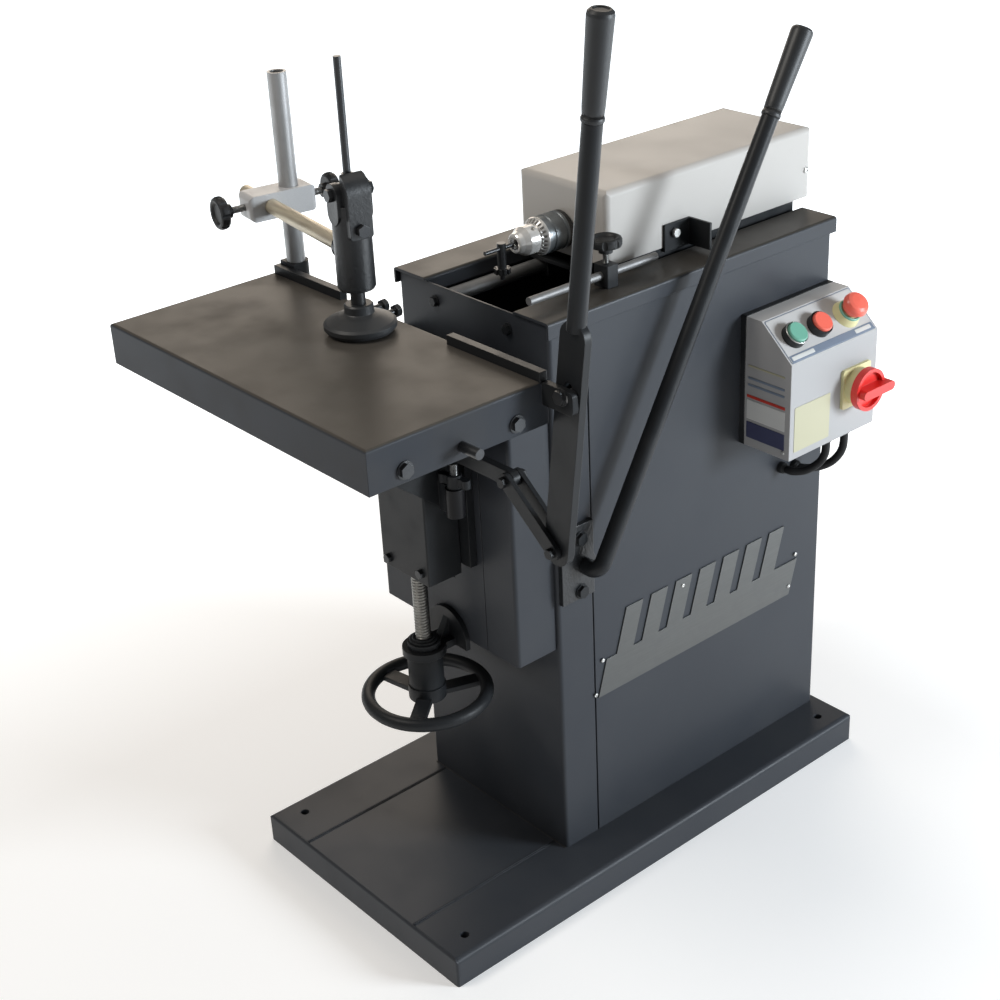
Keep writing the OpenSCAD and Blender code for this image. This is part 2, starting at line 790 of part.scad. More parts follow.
// Flanged bushes in the two returns of the front panel
module shaft_bushes() color("#b08a4a") machine() for (side = [0, 1]) mirror([side, 0, 0]) difference() {
    union() {
        bar_x(shaft_d + 8, [col_w / 2 - col_sheet, col_w / 2], feed_y, feed_z);
        bar_x(bush_flange_d, [col_w / 2 - col_sheet - 9, col_w / 2 - col_sheet], feed_y, feed_z);
    }
    bar_x(shaft_d + 2 * fit, [0, far], feed_y, feed_z);
}

module frame_bolts() color("#3a3c3e") machine() {
    for (x = [-guide_x, guide_x]) translate([x, 0, guide_z]) rotate([90, 0, 0]) bolt_head(small_hex_d);
    for (z = bracket_bolts)
        translate([col_w / 2 + lever_bracket_t, bracket_bolt_y, feed_z + z]) rotate([0, 90, 0]) {
        bolt_head();
        translate([0, 0, -lever_bracket_t]) cylinder(d = stud_bolt_d - 2 * fit, h = lever_bracket_t);
    }
}

module stop_block() color("#4a5058") machine() difference() {
    plate_xy(col_top, col_top + stop_block_h)
        round_rect([stop_x - stop_block_w / 2, stop_block_y - stop_block_l / 2],
        [stop_x + stop_block_w / 2, stop_block_y + stop_block_l / 2], 2);
    bar_y(stop_d + 2 * fit, stop_x, [0, far], stop_z);
    bar_z(8 + 2 * fit, stop_x, stop_block_y, [stop_z, far]);
}

// Outline of the control box in x and z, drawn in by a wall
module box_outline(wall) {
    lean = wall * tan(slant_angle / 2);
    top_x = box_x + box_top_d - wall * tan((90 - slant_angle) / 2) * 0.6;
    back = box_x + box_back - (wall > 0 ? 1 : 0);
    polygon([[back, box_z + wall], [box_x + box_d - wall, box_z + wall],
        [box_x + box_d - wall, box_z1 - box_slant - lean * 0.6], [top_x, box_z1 - wall], [back, box_z1 - wall]]);
}

// Frame on the slanted panel: z is square to the panel
module on_slant(y) translate([slant_mid[0], y, slant_mid[1]]) rotate([0, slant_angle, 0]) children();

// Folded enclosure, and the frame that it is screwed to
module control_box() color("#c3c6c9") machine() {
    plate_yz(box_x, box_x + box_back) difference() {
        round_rect([box_y - 1, box_z - 1], [box_y1 + 1, box_z1 + 1], 3);
        round_rect([box_y + box_back, box_z + box_back], [box_y1 - box_back, box_z1 - box_back], 3);
    }
    box_shell();
}

module box_shell() difference() {
    plate_xz(box_y, box_y1) box_outline(0);
    plate_xz(box_y + box_sheet, box_y1 - box_sheet) box_outline(box_sheet);
    for (y = button_at) on_slant(y) cylinder(d = panel_hole_d + 2 * fit, h = panel_cut, center = true);
    on_slant(mushroom_at) cylinder(d = panel_hole_d + 2 * fit, h = panel_cut, center = true);
    for (g = gland_at) bar_z(cable_d + 6 + 2 * fit, box_x + g[0], box_y + g[1], [box_z - 1, box_z + 8]);
}

module button_collars() color("#1b1b1d") machine() for (y = button_at) on_slant(y) difference() {
    cylinder(d = collar_out_d, h = collar_up);
    translate([0, 0, 2]) cylinder(d = button_d + 2 * gap, h = collar_up);
    cylinder(d = panel_hole_d + 2 * fit, h = 10, center = true);
}

module switch_plates() color("#d6c23a") machine() {
    on_slant(mushroom_at) difference() {
        cylinder(d1 = mushroom_d + 6, d2 = mushroom_d - 2, h = mushroom_base);
        cylinder(d = panel_hole_d + 2 * fit, h = 4 * mushroom_base, center = true);
    }
    half = switch_plate_w / 2;
    difference() {
        union() {
            plate_yz(box_x + box_d, box_x + box_d + 5)
                round_rect(switch_at - [half, half], switch_at + [half, half], 4);
            bar_x(switch_d - 8, [box_x + box_d + 5, box_x + box_d + 20], switch_at[0], switch_at[1]);
        }
        bar_x(10 + 2 * fit, [box_x + box_d + 3, far], switch_at[0], switch_at[1]);
    }
}

// Tube swept along points, with a ring of sides at each point
function ring_frame(p, i) = let (t = p[min(i + 1, len(p) - 1)] - p[max(i - 1, 0)], n = t / norm(t),
    s = cross(n, [0.3, 0.9, 0.2]), u = s / norm(s)) [u, cross(n, u)];
function ring_points(p, i, r, sides) = let (f = ring_frame(p, i))
    [for (k = [0:sides - 1]) p[i] + r * (cos(360 * k / sides) * f[0] + sin(360 * k / sides) * f[1])];
module swept(p, d, sides = 10) {
    last = len(p) - 1;
    points = [for (i = [0:last]) each ring_points(p, i, d / 2, sides)];
    sides_faces = [for (i = [0:last - 1], k = [0:sides - 1]) let (n = (k + 1) % sides)
        each [[i * sides + k, (i + 1) * sides + n, i * sides + n],
              [i * sides + k, (i + 1) * sides + k, (i + 1) * sides + n]]];
    caps = [[for (k = [0:sides - 1]) k], [for (k = [0:sides - 1]) last * sides + sides - 1 - k]];
    polyhedron(points, concat(sides_faces, caps));
}

// Two leads from glands in the box's floor into the column's side
module control_cables() color("#161618") machine() {
    for (i = [0, 1]) {
        g = gland_at[i];
        translate([box_x, box_y, box_z]) swept(cable_run[i], cable_d);
        bar_z(cable_d + 10, box_x + g[0], box_y + g[1], [box_z - 12, box_z]);
        bar_z(cable_d + 5, box_x + g[0], box_y + g[1], [box_z - 22, box_z - 12]);
        bar_z(cable_d + 6, box_x + g[0], box_y + g[1], [box_z, box_z + 8]);
        e = entry_at[i];
        bar_x(cable_d + 6, [box_x, box_x + 12], box_y + e[0], e[1]);
    }
}

// Plain plate on the column's side: a band with slanted bars above it
module name_plate() color("#9a9da0") machine() plate_yz(col_w / 2, col_w / 2 + plate_t) {
    y0 = front_return + col_seam + 4;
    z0 = 300;
    lean = 0.3;
    polygon([[y0, z0], [y0 + plate_l, z0], [y0 + plate_l + lean * plate_band, z0 + plate_band],
        [y0 + lean * plate_band, z0 + plate_band]]);
    bars = 7;
    pitch = (plate_l - 60) / bars;
    for (i = [0:bars - 1]) translate([y0 + 40 + i * pitch, z0 + plate_band])
        polygon([[0, 0], [pitch * 0.66, 0], [pitch * 0.66 + lean * plate_bar_h, plate_bar_h],
            [lean * plate_bar_h, plate_bar_h]]);
}

// Welded knee: sliding plate, key and retainer, gussets, top plate and lock boss
module knee_frame() color("#2b2e31") machine() {
    difference() {
        union() {
            slab([-slide_w / 2, slide_w / 2], [slide_y0, slide_y1], [slide_low, knee_plate_z]);
            slab([-slot_w / 2, slot_w / 2], [slide_y1, -mast_d + mast_sheet + gap], [key_low, key_low + key_l]);
            slab([-knee_top_w / 2, knee_top_w / 2], [knee_top_y0, slide_y1], [knee_plate_z, knee_top_z]);
            for (side = [0, 1]) mirror([side, 0, 0])
                plate_yz(knee_box_w / 2, knee_box_w / 2 + gusset_t) polygon([[slide_y0, knee_plate_z],
                    [knee_top_y0 + 40, knee_plate_z], [knee_top_y0 + 40, knee_plate_z - gusset_nose],
                    [slide_y0, gusset_low]]);
            slab([knee_box_w / 2 + gusset_t, boss_x], [boss_y - 5, boss_y + 5], [boss_z0, boss_z0 + boss_h]);
            bar_z(boss_d, boss_x, boss_y, [boss_z0, boss_z0 + boss_h]);
            bar_z(stud_d, boss_x, boss_y, [boss_z0 + boss_h, boss_z0 + boss_h + stud_h]);
        }
    }
    inner = -mast_d + mast_sheet + gap;
    slab([-retainer_w / 2, retainer_w / 2], [inner, inner + retainer_t], [key_low, key_low + key_l]);
}

module knee_box() color("#34383d") machine() {
    x = knee_box_w / 2;
    plate_xy(knee_box_low, knee_plate_z) difference() {
        round_rect([-x, knee_box_y0], [x, slide_y0], 3);
        round_rect([-x + knee_wall, knee_box_y0 + knee_wall], [x - knee_wall, slide_y0 - knee_wall], 2);
    }
    slab([-x + knee_wall, x - knee_wall], [knee_box_y0 + knee_wall, slide_y0 - knee_wall],
        [knee_plate_z - lift_plate_drop - lift_plate_t, knee_plate_z - lift_plate_drop]);
}

module saddle_blocks() color("#5a5f64") machine() difference() {
    for (x = [-saddle_x, saddle_x], y = rod_y)
        slab([x - saddle_l / 2, x + saddle_l / 2], [y - saddle_w / 2, y + saddle_w / 2],
            [knee_top_z, table_rod_z + table_rod_d / 2 + 6]);
    for (y = rod_y) bar_x(table_rod_d + 2 * fit, [-far, far], y, table_rod_z);
}

module lift_screw() color("#8f9296") machine()
    bar_z(screw_d, 0, screw_y, [nut_low + 6, knee_plate_z - lift_plate_drop - lift_plate_t]);

// Flat arm on the right gusset that carries the link
module link_arm() color("#2b2e31") machine() difference() {
    plate_xz(lever_y0, lever_y1) {
        translate([knee_box_w / 2 + gusset_t, up_pin_z - link_w / 2])
            square([up_pin_x - knee_box_w / 2 - gusset_t, link_w]);
        translate([up_pin_x, up_pin_z]) circle(d = link_w);
    }
    bar_y(pin_d + 2 * fit, up_pin_x, [-far, far], up_pin_z);
}

// Two-winged nut with rounded lobes
module lock_wing_nut() color("#26282a") machine() translate([boss_x, boss_y, boss_z0 + boss_h + gap]) difference() {
    union() {
        cylinder(d = stud_d + 10, h = 20);
        translate([0, 0, 4]) linear_extrude(13) {
            round_bar([-wing_span / 2 + 7, -4], [0, 0], 10);
            round_bar([wing_span / 2 - 7, 4], [0, 0], 10);
            for (s = [-1, 1]) translate([s * (wing_span / 2 - 7), s * 4]) circle(d = 13);
        }
    }
    translate([0, 0, -1]) cylinder(d = stud_d + 2 * fit, h = 30);
}

module handwheel() color("#2a2c2e") machine() translate([0, screw_y, hub_low]) difference() {
    union() {
        cylinder(d = nut_d + 4, h = hub_h);
        translate([0, 0, rim_d / 4]) rotate_extrude($fn = 72) translate([wheel_d / 2, 0])
            circle(d = rim_d, $fn = 32);
        for (a = [70, 190, 310]) rotate([0, 0, a])
            slab([nut_d / 2 - 4, wheel_d / 2], [-spoke_w / 2, spoke_w / 2], [0, spoke_t]);
    }
    translate([0, 0, -1]) cylinder(d = screw_d + 2 * gap, h = hub_h + 2);
}

module lift_nut() color("#55595d") machine() translate([0, screw_y, 0]) difference() {
    union() {
        bar_z(nut_d, 0, 0, [nut_low, nut_low + nut_h]);
        bar_z(neck_d, 0, 0, [nut_low, neck_top]);
        bar_z(collar_d, 0, 0, [neck_top, neck_top + collar_h]);
    }
    bar_z(screw_d + 2 * gap, 0, 0, [0, far]);
}

// Folded table pan with the lever lug and the post socket welded on
module table_top() color("#3a3733") machine() difference() {
    x = table_w / 2;
    lug = [table_pin[0] + 20, table_pin[1] - 22, table_z];
    union() {
        difference() {
            intersection() {
                plate_xz(table_y0, table_y1) {
                    round_rect([-x, apron_z], [x, table_z], table_bend);
                    translate([-x, apron_z]) square([table_w, table_h / 2]);
                }
                plate_yz(-x, x) {
                    round_rect([table_y0, apron_z], [table_y1, table_z], table_bend);
                    translate([table_y0, apron_z]) square([table_d, table_h / 2]);
                }
            }
            slab([-x + table_sheet, x - table_sheet], [table_y0 + table_sheet, table_y1 - table_sheet],
                [0, table_z - table_sheet - 1]);
        }
        plate_xz(table_y1 - lug_t, table_y1) round_rect([x - 3, lug[1]], [lug[0], lug[2]], 7);
        plate_xy(apron_z + 4, table_z + 18) {
            translate([-post_x, post_y]) circle(d = socket_d);
            translate([-post_x - socket_d / 2, table_y1]) square([socket_d, post_y - table_y1]);
        }
    }
    bar_y(pin_d + 2 * fit, table_pin[0], [-far, far], table_pin[1]);
    bar_z(post_d + 2 * fit, -post_x, post_y, [apron_z + 14, far]);
    for (x = fence_x)
        slab([x[0] - gap, x[1] + gap], [table_y1 - fence_w - gap, table_y1 + fit], [table_z - fence_seat, far]);
    for (y = rod_y) bar_x(12 + 2 * fit, [-far, far], y, table_rod_z);
}

module table_rods() color("silver") machine() for (y = rod_y)
    bar_x(table_rod_d, [-table_w / 2 + table_sheet, table_w / 2 - table_sheet], y, table_rod_z);

// Rod end bolts, the stub pin on the right apron and the lever's pivot bolt
module table_bolts() color("#33363a") machine() {
    for (y = rod_y, side = [0, 1]) mirror([side, 0, 0]) translate([table_w / 2, y, table_rod_z]) rotate([0, 90, 0]) {
        bolt_head();
        translate([0, 0, -table_sheet]) cylinder(d = 12, h = table_sheet);
    }
    bar_x(stub_d, [table_w / 2, table_w / 2 + stub_l], (rod_y[0] + rod_y[1]) / 2, table_rod_z);
    translate([table_pin[0], table_y1 - lug_t, table_pin[1]]) rotate([90, 0, 0]) bolt_head();
    bar_y(pin_d, table_pin[0], [table_y1 - lug_t, lever_y1 + gap + 8], table_pin[1]);
    translate([table_pin[0], lever_y1 + gap + 8, table_pin[1]]) rotate([90, 0, 0]) cylinder(d = 24, h = 8, $fn = 6);
}

module fence_bars() color("#25272a") machine() for (x = fence_x)
    slab(x, [table_y1 - fence_w, table_y1], [table_z - fence_seat, table_z + fence_h]);

module clamp_post() color("#9b9c98") machine() difference() {
    bar_z(post_d, -post_x, post_y, [apron_z + 14, table_z + post_h]);
    bar_z(post_d - 8, -post_x, post_y, [table_z + post_h - 60, far]);
}

// The clamp's own frame: x along the bar from the post, turned about the post
module clamp_frame() machine() translate([-post_x, post_y, 0]) rotate([0, 0, -clamp_turn]) children();

// Cross block: the post goes through its rear half, the bar through its front half
module clamp_block() color("#b9bbb8") clamp_frame() difference() {
    y0 = -cross_gap / 2 - cross_l / 2;
    intersection() {
        plate_yz(-cross_w / 2, cross_w / 2)
            round_rect([y0, bar_z - cross_h / 2], [y0 + cross_l, bar_z + cross_h / 2], 9);
        plate_xy(0, far) round_rect([-cross_w / 2, y0], [cross_w / 2, y0 + cross_l], 7);
    }
    bar_z(post_d + 2 * fit, 0, 0, [0, far]);
    bar_x(bar_d + 2 * fit, [-far, far], -cross_gap, bar_z);
    bar_y(10 + 2 * fit, 0, [y0 - 1, -cross_gap], bar_z);
    bar_y(10 + 2 * fit, 0, [0, y0 + cross_l + 1], bar_z);
}

// Scalloped hand knob with a dished face, standing on z = 0
module hand_knob(stud_l, stud = 10) {
    r = knob_d / 2;
    difference() {
        rotate_extrude() polygon([[0, 0], [r - 5, 0], [r - 1.5, 1.5], [r, 5], [r, knob_h - 5],
            [r - 1.5, knob_h - 1.5], [r - 5, knob_h], [r - 8, knob_h - 1], [r - 11, knob_h - 4], [0, knob_h - 4]]);
        for (i = [0:knob_scallops - 1]) rotate(360 * i / knob_scallops) translate([r + 2, 0, -1])
            cylinder(d = knob_d * 0.19, h = knob_h + 2, $fn = 24);
    }
    translate([0, 0, -8]) cylinder(d = knob_d * 0.42, h = 8);
    translate([0, 0, -stud_l]) cylinder(d = stud, h = stud_l);
}

// Knob that grips the bar, on the block's front end
module bar_knob() color("#1d1e20") clamp_frame() {
    y0 = -cross_gap / 2 - cross_l / 2;
    reach = -cross_gap - bar_d / 2 - gap - (y0 - bar_knob_out);
    translate([0, y0 - bar_knob_out, bar_z]) rotate([90, 0, 0]) hand_knob(reach);
}

// Knob that grips the post, on the block's rear end
module post_knob() color("#1d1e20") clamp_frame() {
    y1 = -cross_gap / 2 + cross_l / 2;
    reach = y1 + post_knob_out - post_d / 2 - gap;
    translate([0, y1 + post_knob_out, bar_z]) rotate([-90, 0, 0]) hand_knob(reach);
}

module clamp_bar() color("#b3a47c") clamp_frame()
    bar_x(bar_d, [-cross_w / 2 - bar_tail, clamp_reach - sleeve_d / 2 + 6], -cross_gap, bar_z);

// Cast sleeve with a fork of two ears, a front cheek and the socket for the bar
module clamp_sleeve() color("#2b2f33") clamp_frame() translate([clamp_reach, -cross_gap, 0]) difference() {
    ear_y = sleeve_d / 2 - 9;
    union() {
        bar_z(sleeve_d, 0, 0, [sleeve_z0, sleeve_z1]);
        bar_z(sleeve_d - 4, 0, 0, [sleeve_z0 - 3, sleeve_z1]);
        for (s = [-1, 1]) plate_xz(s * (ear_y + 4.5) - 4.5, s * (ear_y + 4.5) + 4.5)
            round_bar([0, sleeve_z1 - 12], [0, cam_z], 30);
        intersection() {
            plate_xz(-far, far) intersection() {
                union() {
                    translate([0, cam_z]) circle(cheek_out);
                    translate([0, cheek_z]) square([cheek_out, cam_z - cheek_z]);
                }
                translate([cheek_out / 3, 0]) square([far, far]);
            }
            plate_yz(0, far) round_rect([-ear_y, cheek_z], [ear_y, cam_z + cheek_out], 5);
        }
        bar_x(bar_d + 14, [-sleeve_d / 2 - 5, -sleeve_d / 2 + 8], 0, bar_z);
    }
    bar_z(plunger_d + 2 * fit, 0, 0, [0, sleeve_z1 - 30]);
    bar_z(plunger_d + 12, 0, 0, [sleeve_z1 - 30, cam_z]);
    slab([-cheek_in, 0], [-ear_y + gap, ear_y - gap], [sleeve_z1 - 30, far]);
    bar_y(2 * cheek_in, 0, [-ear_y + gap, ear_y - gap], cam_z);
    bar_x(bar_d + 2 * fit, [-far, -sleeve_d / 2 + 6], 0, bar_z);
    bar_y(10 + 2 * fit, 0, [-far, far], cam_z);
}

// Cam pin through the ears with a head at each end, and the cheek's bolt
module clamp_pins() color("#3a3d40") clamp_frame() translate([clamp_reach, -cross_gap, 0]) {
    bar_y(10, 0, [-sleeve_d / 2, sleeve_d / 2], cam_z);
    for (s = [0, 1]) mirror([0, s, 0]) translate([0, sleeve_d / 2, cam_z]) rotate([-90, 0, 0])
        cylinder(d = 18, h = 7, $fn = 6);
    translate([cheek_out, 0, cheek_z + 12]) rotate([0, 90, 0]) cylinder(d = 18, h = 7, $fn = 6);
}

// Cam head on its pin with a straight rod
module clamp_lever() color("#1f2123") clamp_frame() translate([clamp_reach, -cross_gap, cam_z]) difference() {
    half = sleeve_d / 2 - 9 - 2 * gap;
    union() {
        bar_y(2 * cam_r, cam_throw * sin(cam_rest), [-half, half], -cam_throw * cos(cam_rest));
        bar_y(2 * cam_r + 2, 0, [-half, half], 0);
        bar_z(clamp_rod_d, 0, 0, [cam_r - 3, clamp_rod_l]);
        bar_z(clamp_rod_d + 5, 0, 0, [cam_r - 3, cam_r + 12]);
    }
    bar_y(10 + 2 * fit, 0, [-far, far], 0);
}

module clamp_plunger() color("#4a4d50") clamp_frame() translate([clamp_reach, -cross_gap, 0])
    bar_z(plunger_d, 0, 0, [foot_z + foot_h, cam_z - cam_r - cam_throw * cos(cam_rest) - gap]);

// Bell-shaped foot with a thick rim
module clamp_foot() color("#202225") clamp_frame() translate([clamp_reach, -cross_gap, foot_z]) rotate_extrude() {
    r = foot_d / 2;
    neck = plunger_d / 2 + 10;
    polygon([[0, 0], [r - 4, 0], [r - 3, 5], [r, 5], [r, 11], [r - 4, 14], [neck + 9, foot_h - 16],
        [neck + 1, foot_h - 13], [neck, foot_h - 12], [neck, foot_h - 2], [neck - 2, foot_h], [0, foot_h]]);
}

// Two link plates with their pins
module link_plates() color("#2d3033") machine() {
    low = [low_pin_x, low_pin_z];
    up = [up_pin_x, up_pin_z];
    planes = [[lever_y0 - washer - link_t, lever_y0 - washer], [lever_y1 + washer, lever_y1 + washer + link_t]];
    for (p = planes) plate_xz(p[0], p[1]) difference() {
        round_bar(low, up, link_w);
        for (at = [low, up]) translate(at) circle(d = pin_d + 2 * fit);
    }
    for (at = [low, up]) {
        bar_y(pin_d, at[0], [planes[0][0] - gap, planes[1][1] + gap], at[1]);
        for (y = [planes[0][0] - gap, planes[1][1] + gap + hex_h]) translate([at[0], y, at[1]]) rotate([90, 0, 0])
            cylinder(d = small_hex_d, h = hex_h, $fn = 6);
    }
}

// The table lever's own frame: z runs up the lever from the lower link pin
module lever_frame() machine() translate([low_pin_x, 0, low_pin_z]) rotate([0, lever_lean, 0]) children();

// Flat bar with rounded shoulders, and a tube over its upper end
module table_lever() color("#24272b") lever_frame() difference() {
    union() {
        plate_xz(lever_y0, lever_y1) {
            round_bar([0, 0], [0, flat_l - flat_w / 2], flat_w);
            translate([-flat_w / 2, 0]) square([flat_w, flat_l - flat_w]);
        }
        bar_z(tube_d, 0, lever_y, [flat_l - flat_t, lever_l - grip_l + 12]);
    }
    bar_y(pin_d + 2 * fit, 0, [-far, far], 0);
    plate_xz(lever_y0 - 1, lever_y1 + 1) round_bar([0, lever_arm - pin_play], [0, lever_arm + pin_slot],
        pin_d + 2 * pin_play);
}

// Moulded grip with flats, an end ring and a domed cap; z = 0 is its lower end
module grip_shape() difference() {
    r = grip_d / 2;
    rotate_extrude() {
        polygon([[0, 12], [tube_d / 2 + 0.5, 12], [tube_d / 2 + 0.5, 0], [r - 3.5, 0], [r - 2.2, 2], [r - 2.2, 5],
            [r - 3.4, 8], [r - 2.6, 18], [r, grip_l - 7], [r - 0.8, grip_l - 3], [r - 4, grip_l], [0, grip_l]]);
    }
    for (a = [0:45:359]) rotate([0, 0, a]) translate([r - 1.5, -far / 2, 20]) rotate([0, 1.1, 0])
        cube([10, far, grip_l - 42]);
    translate([0, 0, grip_l - 1.2]) cylinder(r = r - 6.5, h = 5);
}

module table_lever_grip() color("#1a1b1d") lever_frame() translate([0, lever_y, lever_l - grip_l]) grip_shape();

// The feed lever's own frame: z runs up the lever from the feed shaft
module feed_frame() machine() translate([0, feed_y, feed_z]) rotate([-feed_lean, 0, 0]) children();

// Shaft across the column, a bent foot and a straight tube
module feed_lever() color("#24272b") feed_frame() {
    bend_x = feed_tube_x - foot_bend;
    bar_x(shaft_d, [-col_w / 2 + 1, bend_x], 0, 0);
    bar_x(tube_d, [bend_x - foot_out, bend_x], 0, 0);
    translate([bend_x, 0, foot_bend]) rotate([90, 0, 0]) rotate([0, 0, -90])
        rotate_extrude(angle = 90) translate([foot_bend, 0]) circle(d = tube_d);
    bar_z(tube_d, feed_tube_x, 0, [foot_bend, feed_l - grip_l + 12]);
}

module feed_lever_grip() color("#1a1b1d") feed_frame() translate([feed_tube_x, 0, feed_l - grip_l]) grip_shape();

// Keyed arm on the feed shaft whose fork drives the carriage pin
module feed_arm() color("#3c4044") feed_frame() difference() {
    tip = fork_reach + 17;
    union() {
        bar_x(shaft_d + 2 * arm_hub_wall, [-arm_t / 2 - 12, arm_t / 2 + 12], 0, 0);
        plate_yz(-arm_t / 2, arm_t / 2) {
            translate([-arm_w / 2, 0]) square([arm_w, tip]);
        }
    }
    bar_x(shaft_d + 2 * fit, [-far, far], 0, 0);
    plate_yz(-far, far) {
        w = pin_d + 2 * fork_play;
        translate([0, fork_reach - feed_travel * 0.55]) circle(d = w);
        translate([-w / 2, fork_reach - feed_travel * 0.55]) square([w, far]);
    }
}

// Folded carriage with four bearing blocks and the lugs of the fork pin
module carriage() color("#4a4e53") machine() difference() {
    half = cover_w / 2 - cover_sheet;
    y = [carriage_y, carriage_y + carriage_l];
    union() {
        slab([-half, half], y, [carriage_z, carriage_z + carriage_t]);
        for (side = [0, 1]) mirror([side, 0, 0])
            slab([half - 3, half], y, [carriage_z, carriage_z + carriage_t + carriage_wall_h]);
        for (x = [-guide_x, guide_x], at = [y[0] + 12, y[1] - 12 - block_l])
            slab([x - block_w / 2, x + block_w / 2], [at, at + block_l], [guide_z - block_w / 2, carriage_z]);
        for (x = [-1, 1]) plate_yz(x * (arm_t / 2 + 5) - 3, x * (arm_t / 2 + 5) + 3) {
            translate([fork_y - 15, fork_pin_z]) square([30, carriage_z - fork_pin_z]);
            translate([fork_y, fork_pin_z]) circle(d = 30);
        }
        bar_x(pin_d, [-arm_t / 2 - 8, arm_t / 2 + 8], fork_y, fork_pin_z);
    }
    for (x = [-guide_x, guide_x]) bar_y(guide_d + 2 * fit, x, [0, far], guide_z);
}

// Finned motor body on two feet with a bearing nose
module drive_motor() color("#5b6065") machine() {
    y0 = carriage_y + 28;
    r = motor_d / 2;
    fins = 16;
    difference() {
        union() {
            turned_y(0, spindle_z) polygon([[0, y0 - 18], [24, y0 - 18], [24, y0], [r - 8, y0], [r - 5, y0 + 12],
                [r - 5, y0 + motor_l - 62], [r - 2, y0 + motor_l - 60], [r - 2, y0 + motor_l - 8],
                [r - 10, y0 + motor_l], [0, y0 + motor_l]]);
            for (i = [0:fins - 1]) translate([0, y0 + 16, spindle_z]) rotate([0, 360 * i / fins, 0])
                translate([-1.5, 0, 0]) cube([3, motor_l - 84, r]);
            for (y = [y0 + motor_foot_in[0], y0 + motor_l - motor_foot_in[1]])
                slab([-motor_foot_x, motor_foot_x], [y, y + motor_foot_l],
                [carriage_z + carriage_t, spindle_z - r * 0.55]);
        }
        bar_y(spindle_d + 2 * fit, 0, [0, y0 + 40], spindle_z);
    }
}

// Folded cover over the motor, open below
module motor_cover() color("#c9c6c1") machine() {
    x = cover_w / 2;
    y = [cover_y, cover_y + cover_l];
    z = [cover_z, cover_z + cover_h];
    difference() {
        cover_form(x, y, z, cover_bend);
        cover_form(x - cover_sheet, [y[0] + cover_sheet, y[1] - cover_sheet], [z[0] - 40, z[1] - cover_sheet],
            cover_bend - cover_sheet);
        bar_y(34, 0, [0, cover_y + 20], spindle_z);
    }
}

// Block with rounded upper edges
module cover_form(x, y, z, r) intersection() {
    plate_xz(y[0], y[1]) {
        round_rect([-x, z[0]], [x, z[1]], r);
        translate([-x, z[0]]) square([2 * x, (z[1] - z[0]) / 2]);
    }
    plate_yz(-x, x) {
        round_rect([y[0], z[0]], [y[1], z[1]], r);
        translate([y[0], z[0]]) square([y[1] - y[0], (z[1] - z[0]) / 2]);
    }
    plate_xy(z[0], z[1]) round_rect([-x, y[0]], [x, y[1]], r);
}

// Angle on the carriage that meets the stop rod
module stop_angle() color("#202225") machine() {
    t = 4;
    x = cover_w / 2;
    y1 = stop_angle_y + stop_angle_l;
    z = [col_top + 5, col_top + 46];
    slab([x, x + t], [stop_angle_y, y1], z);
    slab([x, stop_x + 18], [y1 - t, y1], z);
}

module stop_rod() color("silver") machine()
    bar_y(stop_d, stop_x, [stop_y0, stop_y0 + stop_l], stop_z);

module stop_knob() color("#1d1e20") machine() {
    z = col_top + stop_block_h + 24;
    translate([stop_x, stop_block_y, z]) hand_knob(z - stop_z - stop_d / 2 - gap, 8);
}

module spindle() color("silver") machine()
    bar_y(spindle_d, 0, [chuck_y1 - 34, carriage_y + 28 + 38], spindle_z);

// Core of the chuck with its front body, key holes and jaw bore
module chuck_body() color("#b8b9bb") machine() difference() {
    core = nose_d / 2 - 1.5;
    turned_y(0, spindle_z) polygon([[0, chuck_y0], [tip_d / 2 - 1.5, chuck_y0], [tip_d / 2, chuck_y0 + 1.5],
        [tip_d / 2 + 2, chuck_y0 + 8], [nose_d / 2, chuck_y0 + 16], [nose_d / 2, sleeve_y0 - tooth_h - 3],
        [core, sleeve_y0 - tooth_h - 3], [core, sleeve_y1 + gap], [chuck_d / 2, sleeve_y1 + gap],
        [chuck_d / 2, chuck_y1 - 1.5], [chuck_d / 2 - 1.5, chuck_y1], [0, chuck_y1]]);
    bar_y(jaw_bore_d, 0, [0, chuck_y0 + 34], spindle_z);
    bar_y(spindle_d, 0, [chuck_y1 - 34, far], spindle_z);
    for (a = [30, 150, 270]) translate([0, sleeve_y0 - tooth_h - 9, spindle_z]) rotate([0, a, 0])
        translate([0, 0, nose_d / 2 - 7]) cylinder(d = 8, h = 20);
}

// Outer sleeve whose front edge carries the bevel teeth for the key
module chuck_ring() color("#2e3133") machine() difference() {
    r = chuck_d / 2;
    core = nose_d / 2 - 1.5 + gap / 2;
    tooth_w = 0.9 * PI * r / ring_teeth;
    turned_y(0, spindle_z) polygon([[core, sleeve_y0 - tooth_h], [r - 6, sleeve_y0 - tooth_h], [r - 1, sleeve_y0],
        [r, sleeve_y0 + 2], [r, sleeve_y0 + 10], [r - 1.5, sleeve_y0 + 11], [r - 1.5, sleeve_y0 + 15],
        [r, sleeve_y0 + 16], [r, sleeve_y1 - 9], [r - 1.5, sleeve_y1 - 8], [r - 1.5, sleeve_y1 - 5],
        [r, sleeve_y1 - 4], [r, sleeve_y1], [core, sleeve_y1]]);
    for (i = [0:ring_teeth - 1]) translate([0, sleeve_y0 - tooth_h - 1, spindle_z])
        rotate([0, 360 * i / ring_teeth, 0])
        translate([-tooth_w / 2, 0, r - 6.8]) cube([tooth_w, tooth_h + 0.6, 12]);
}

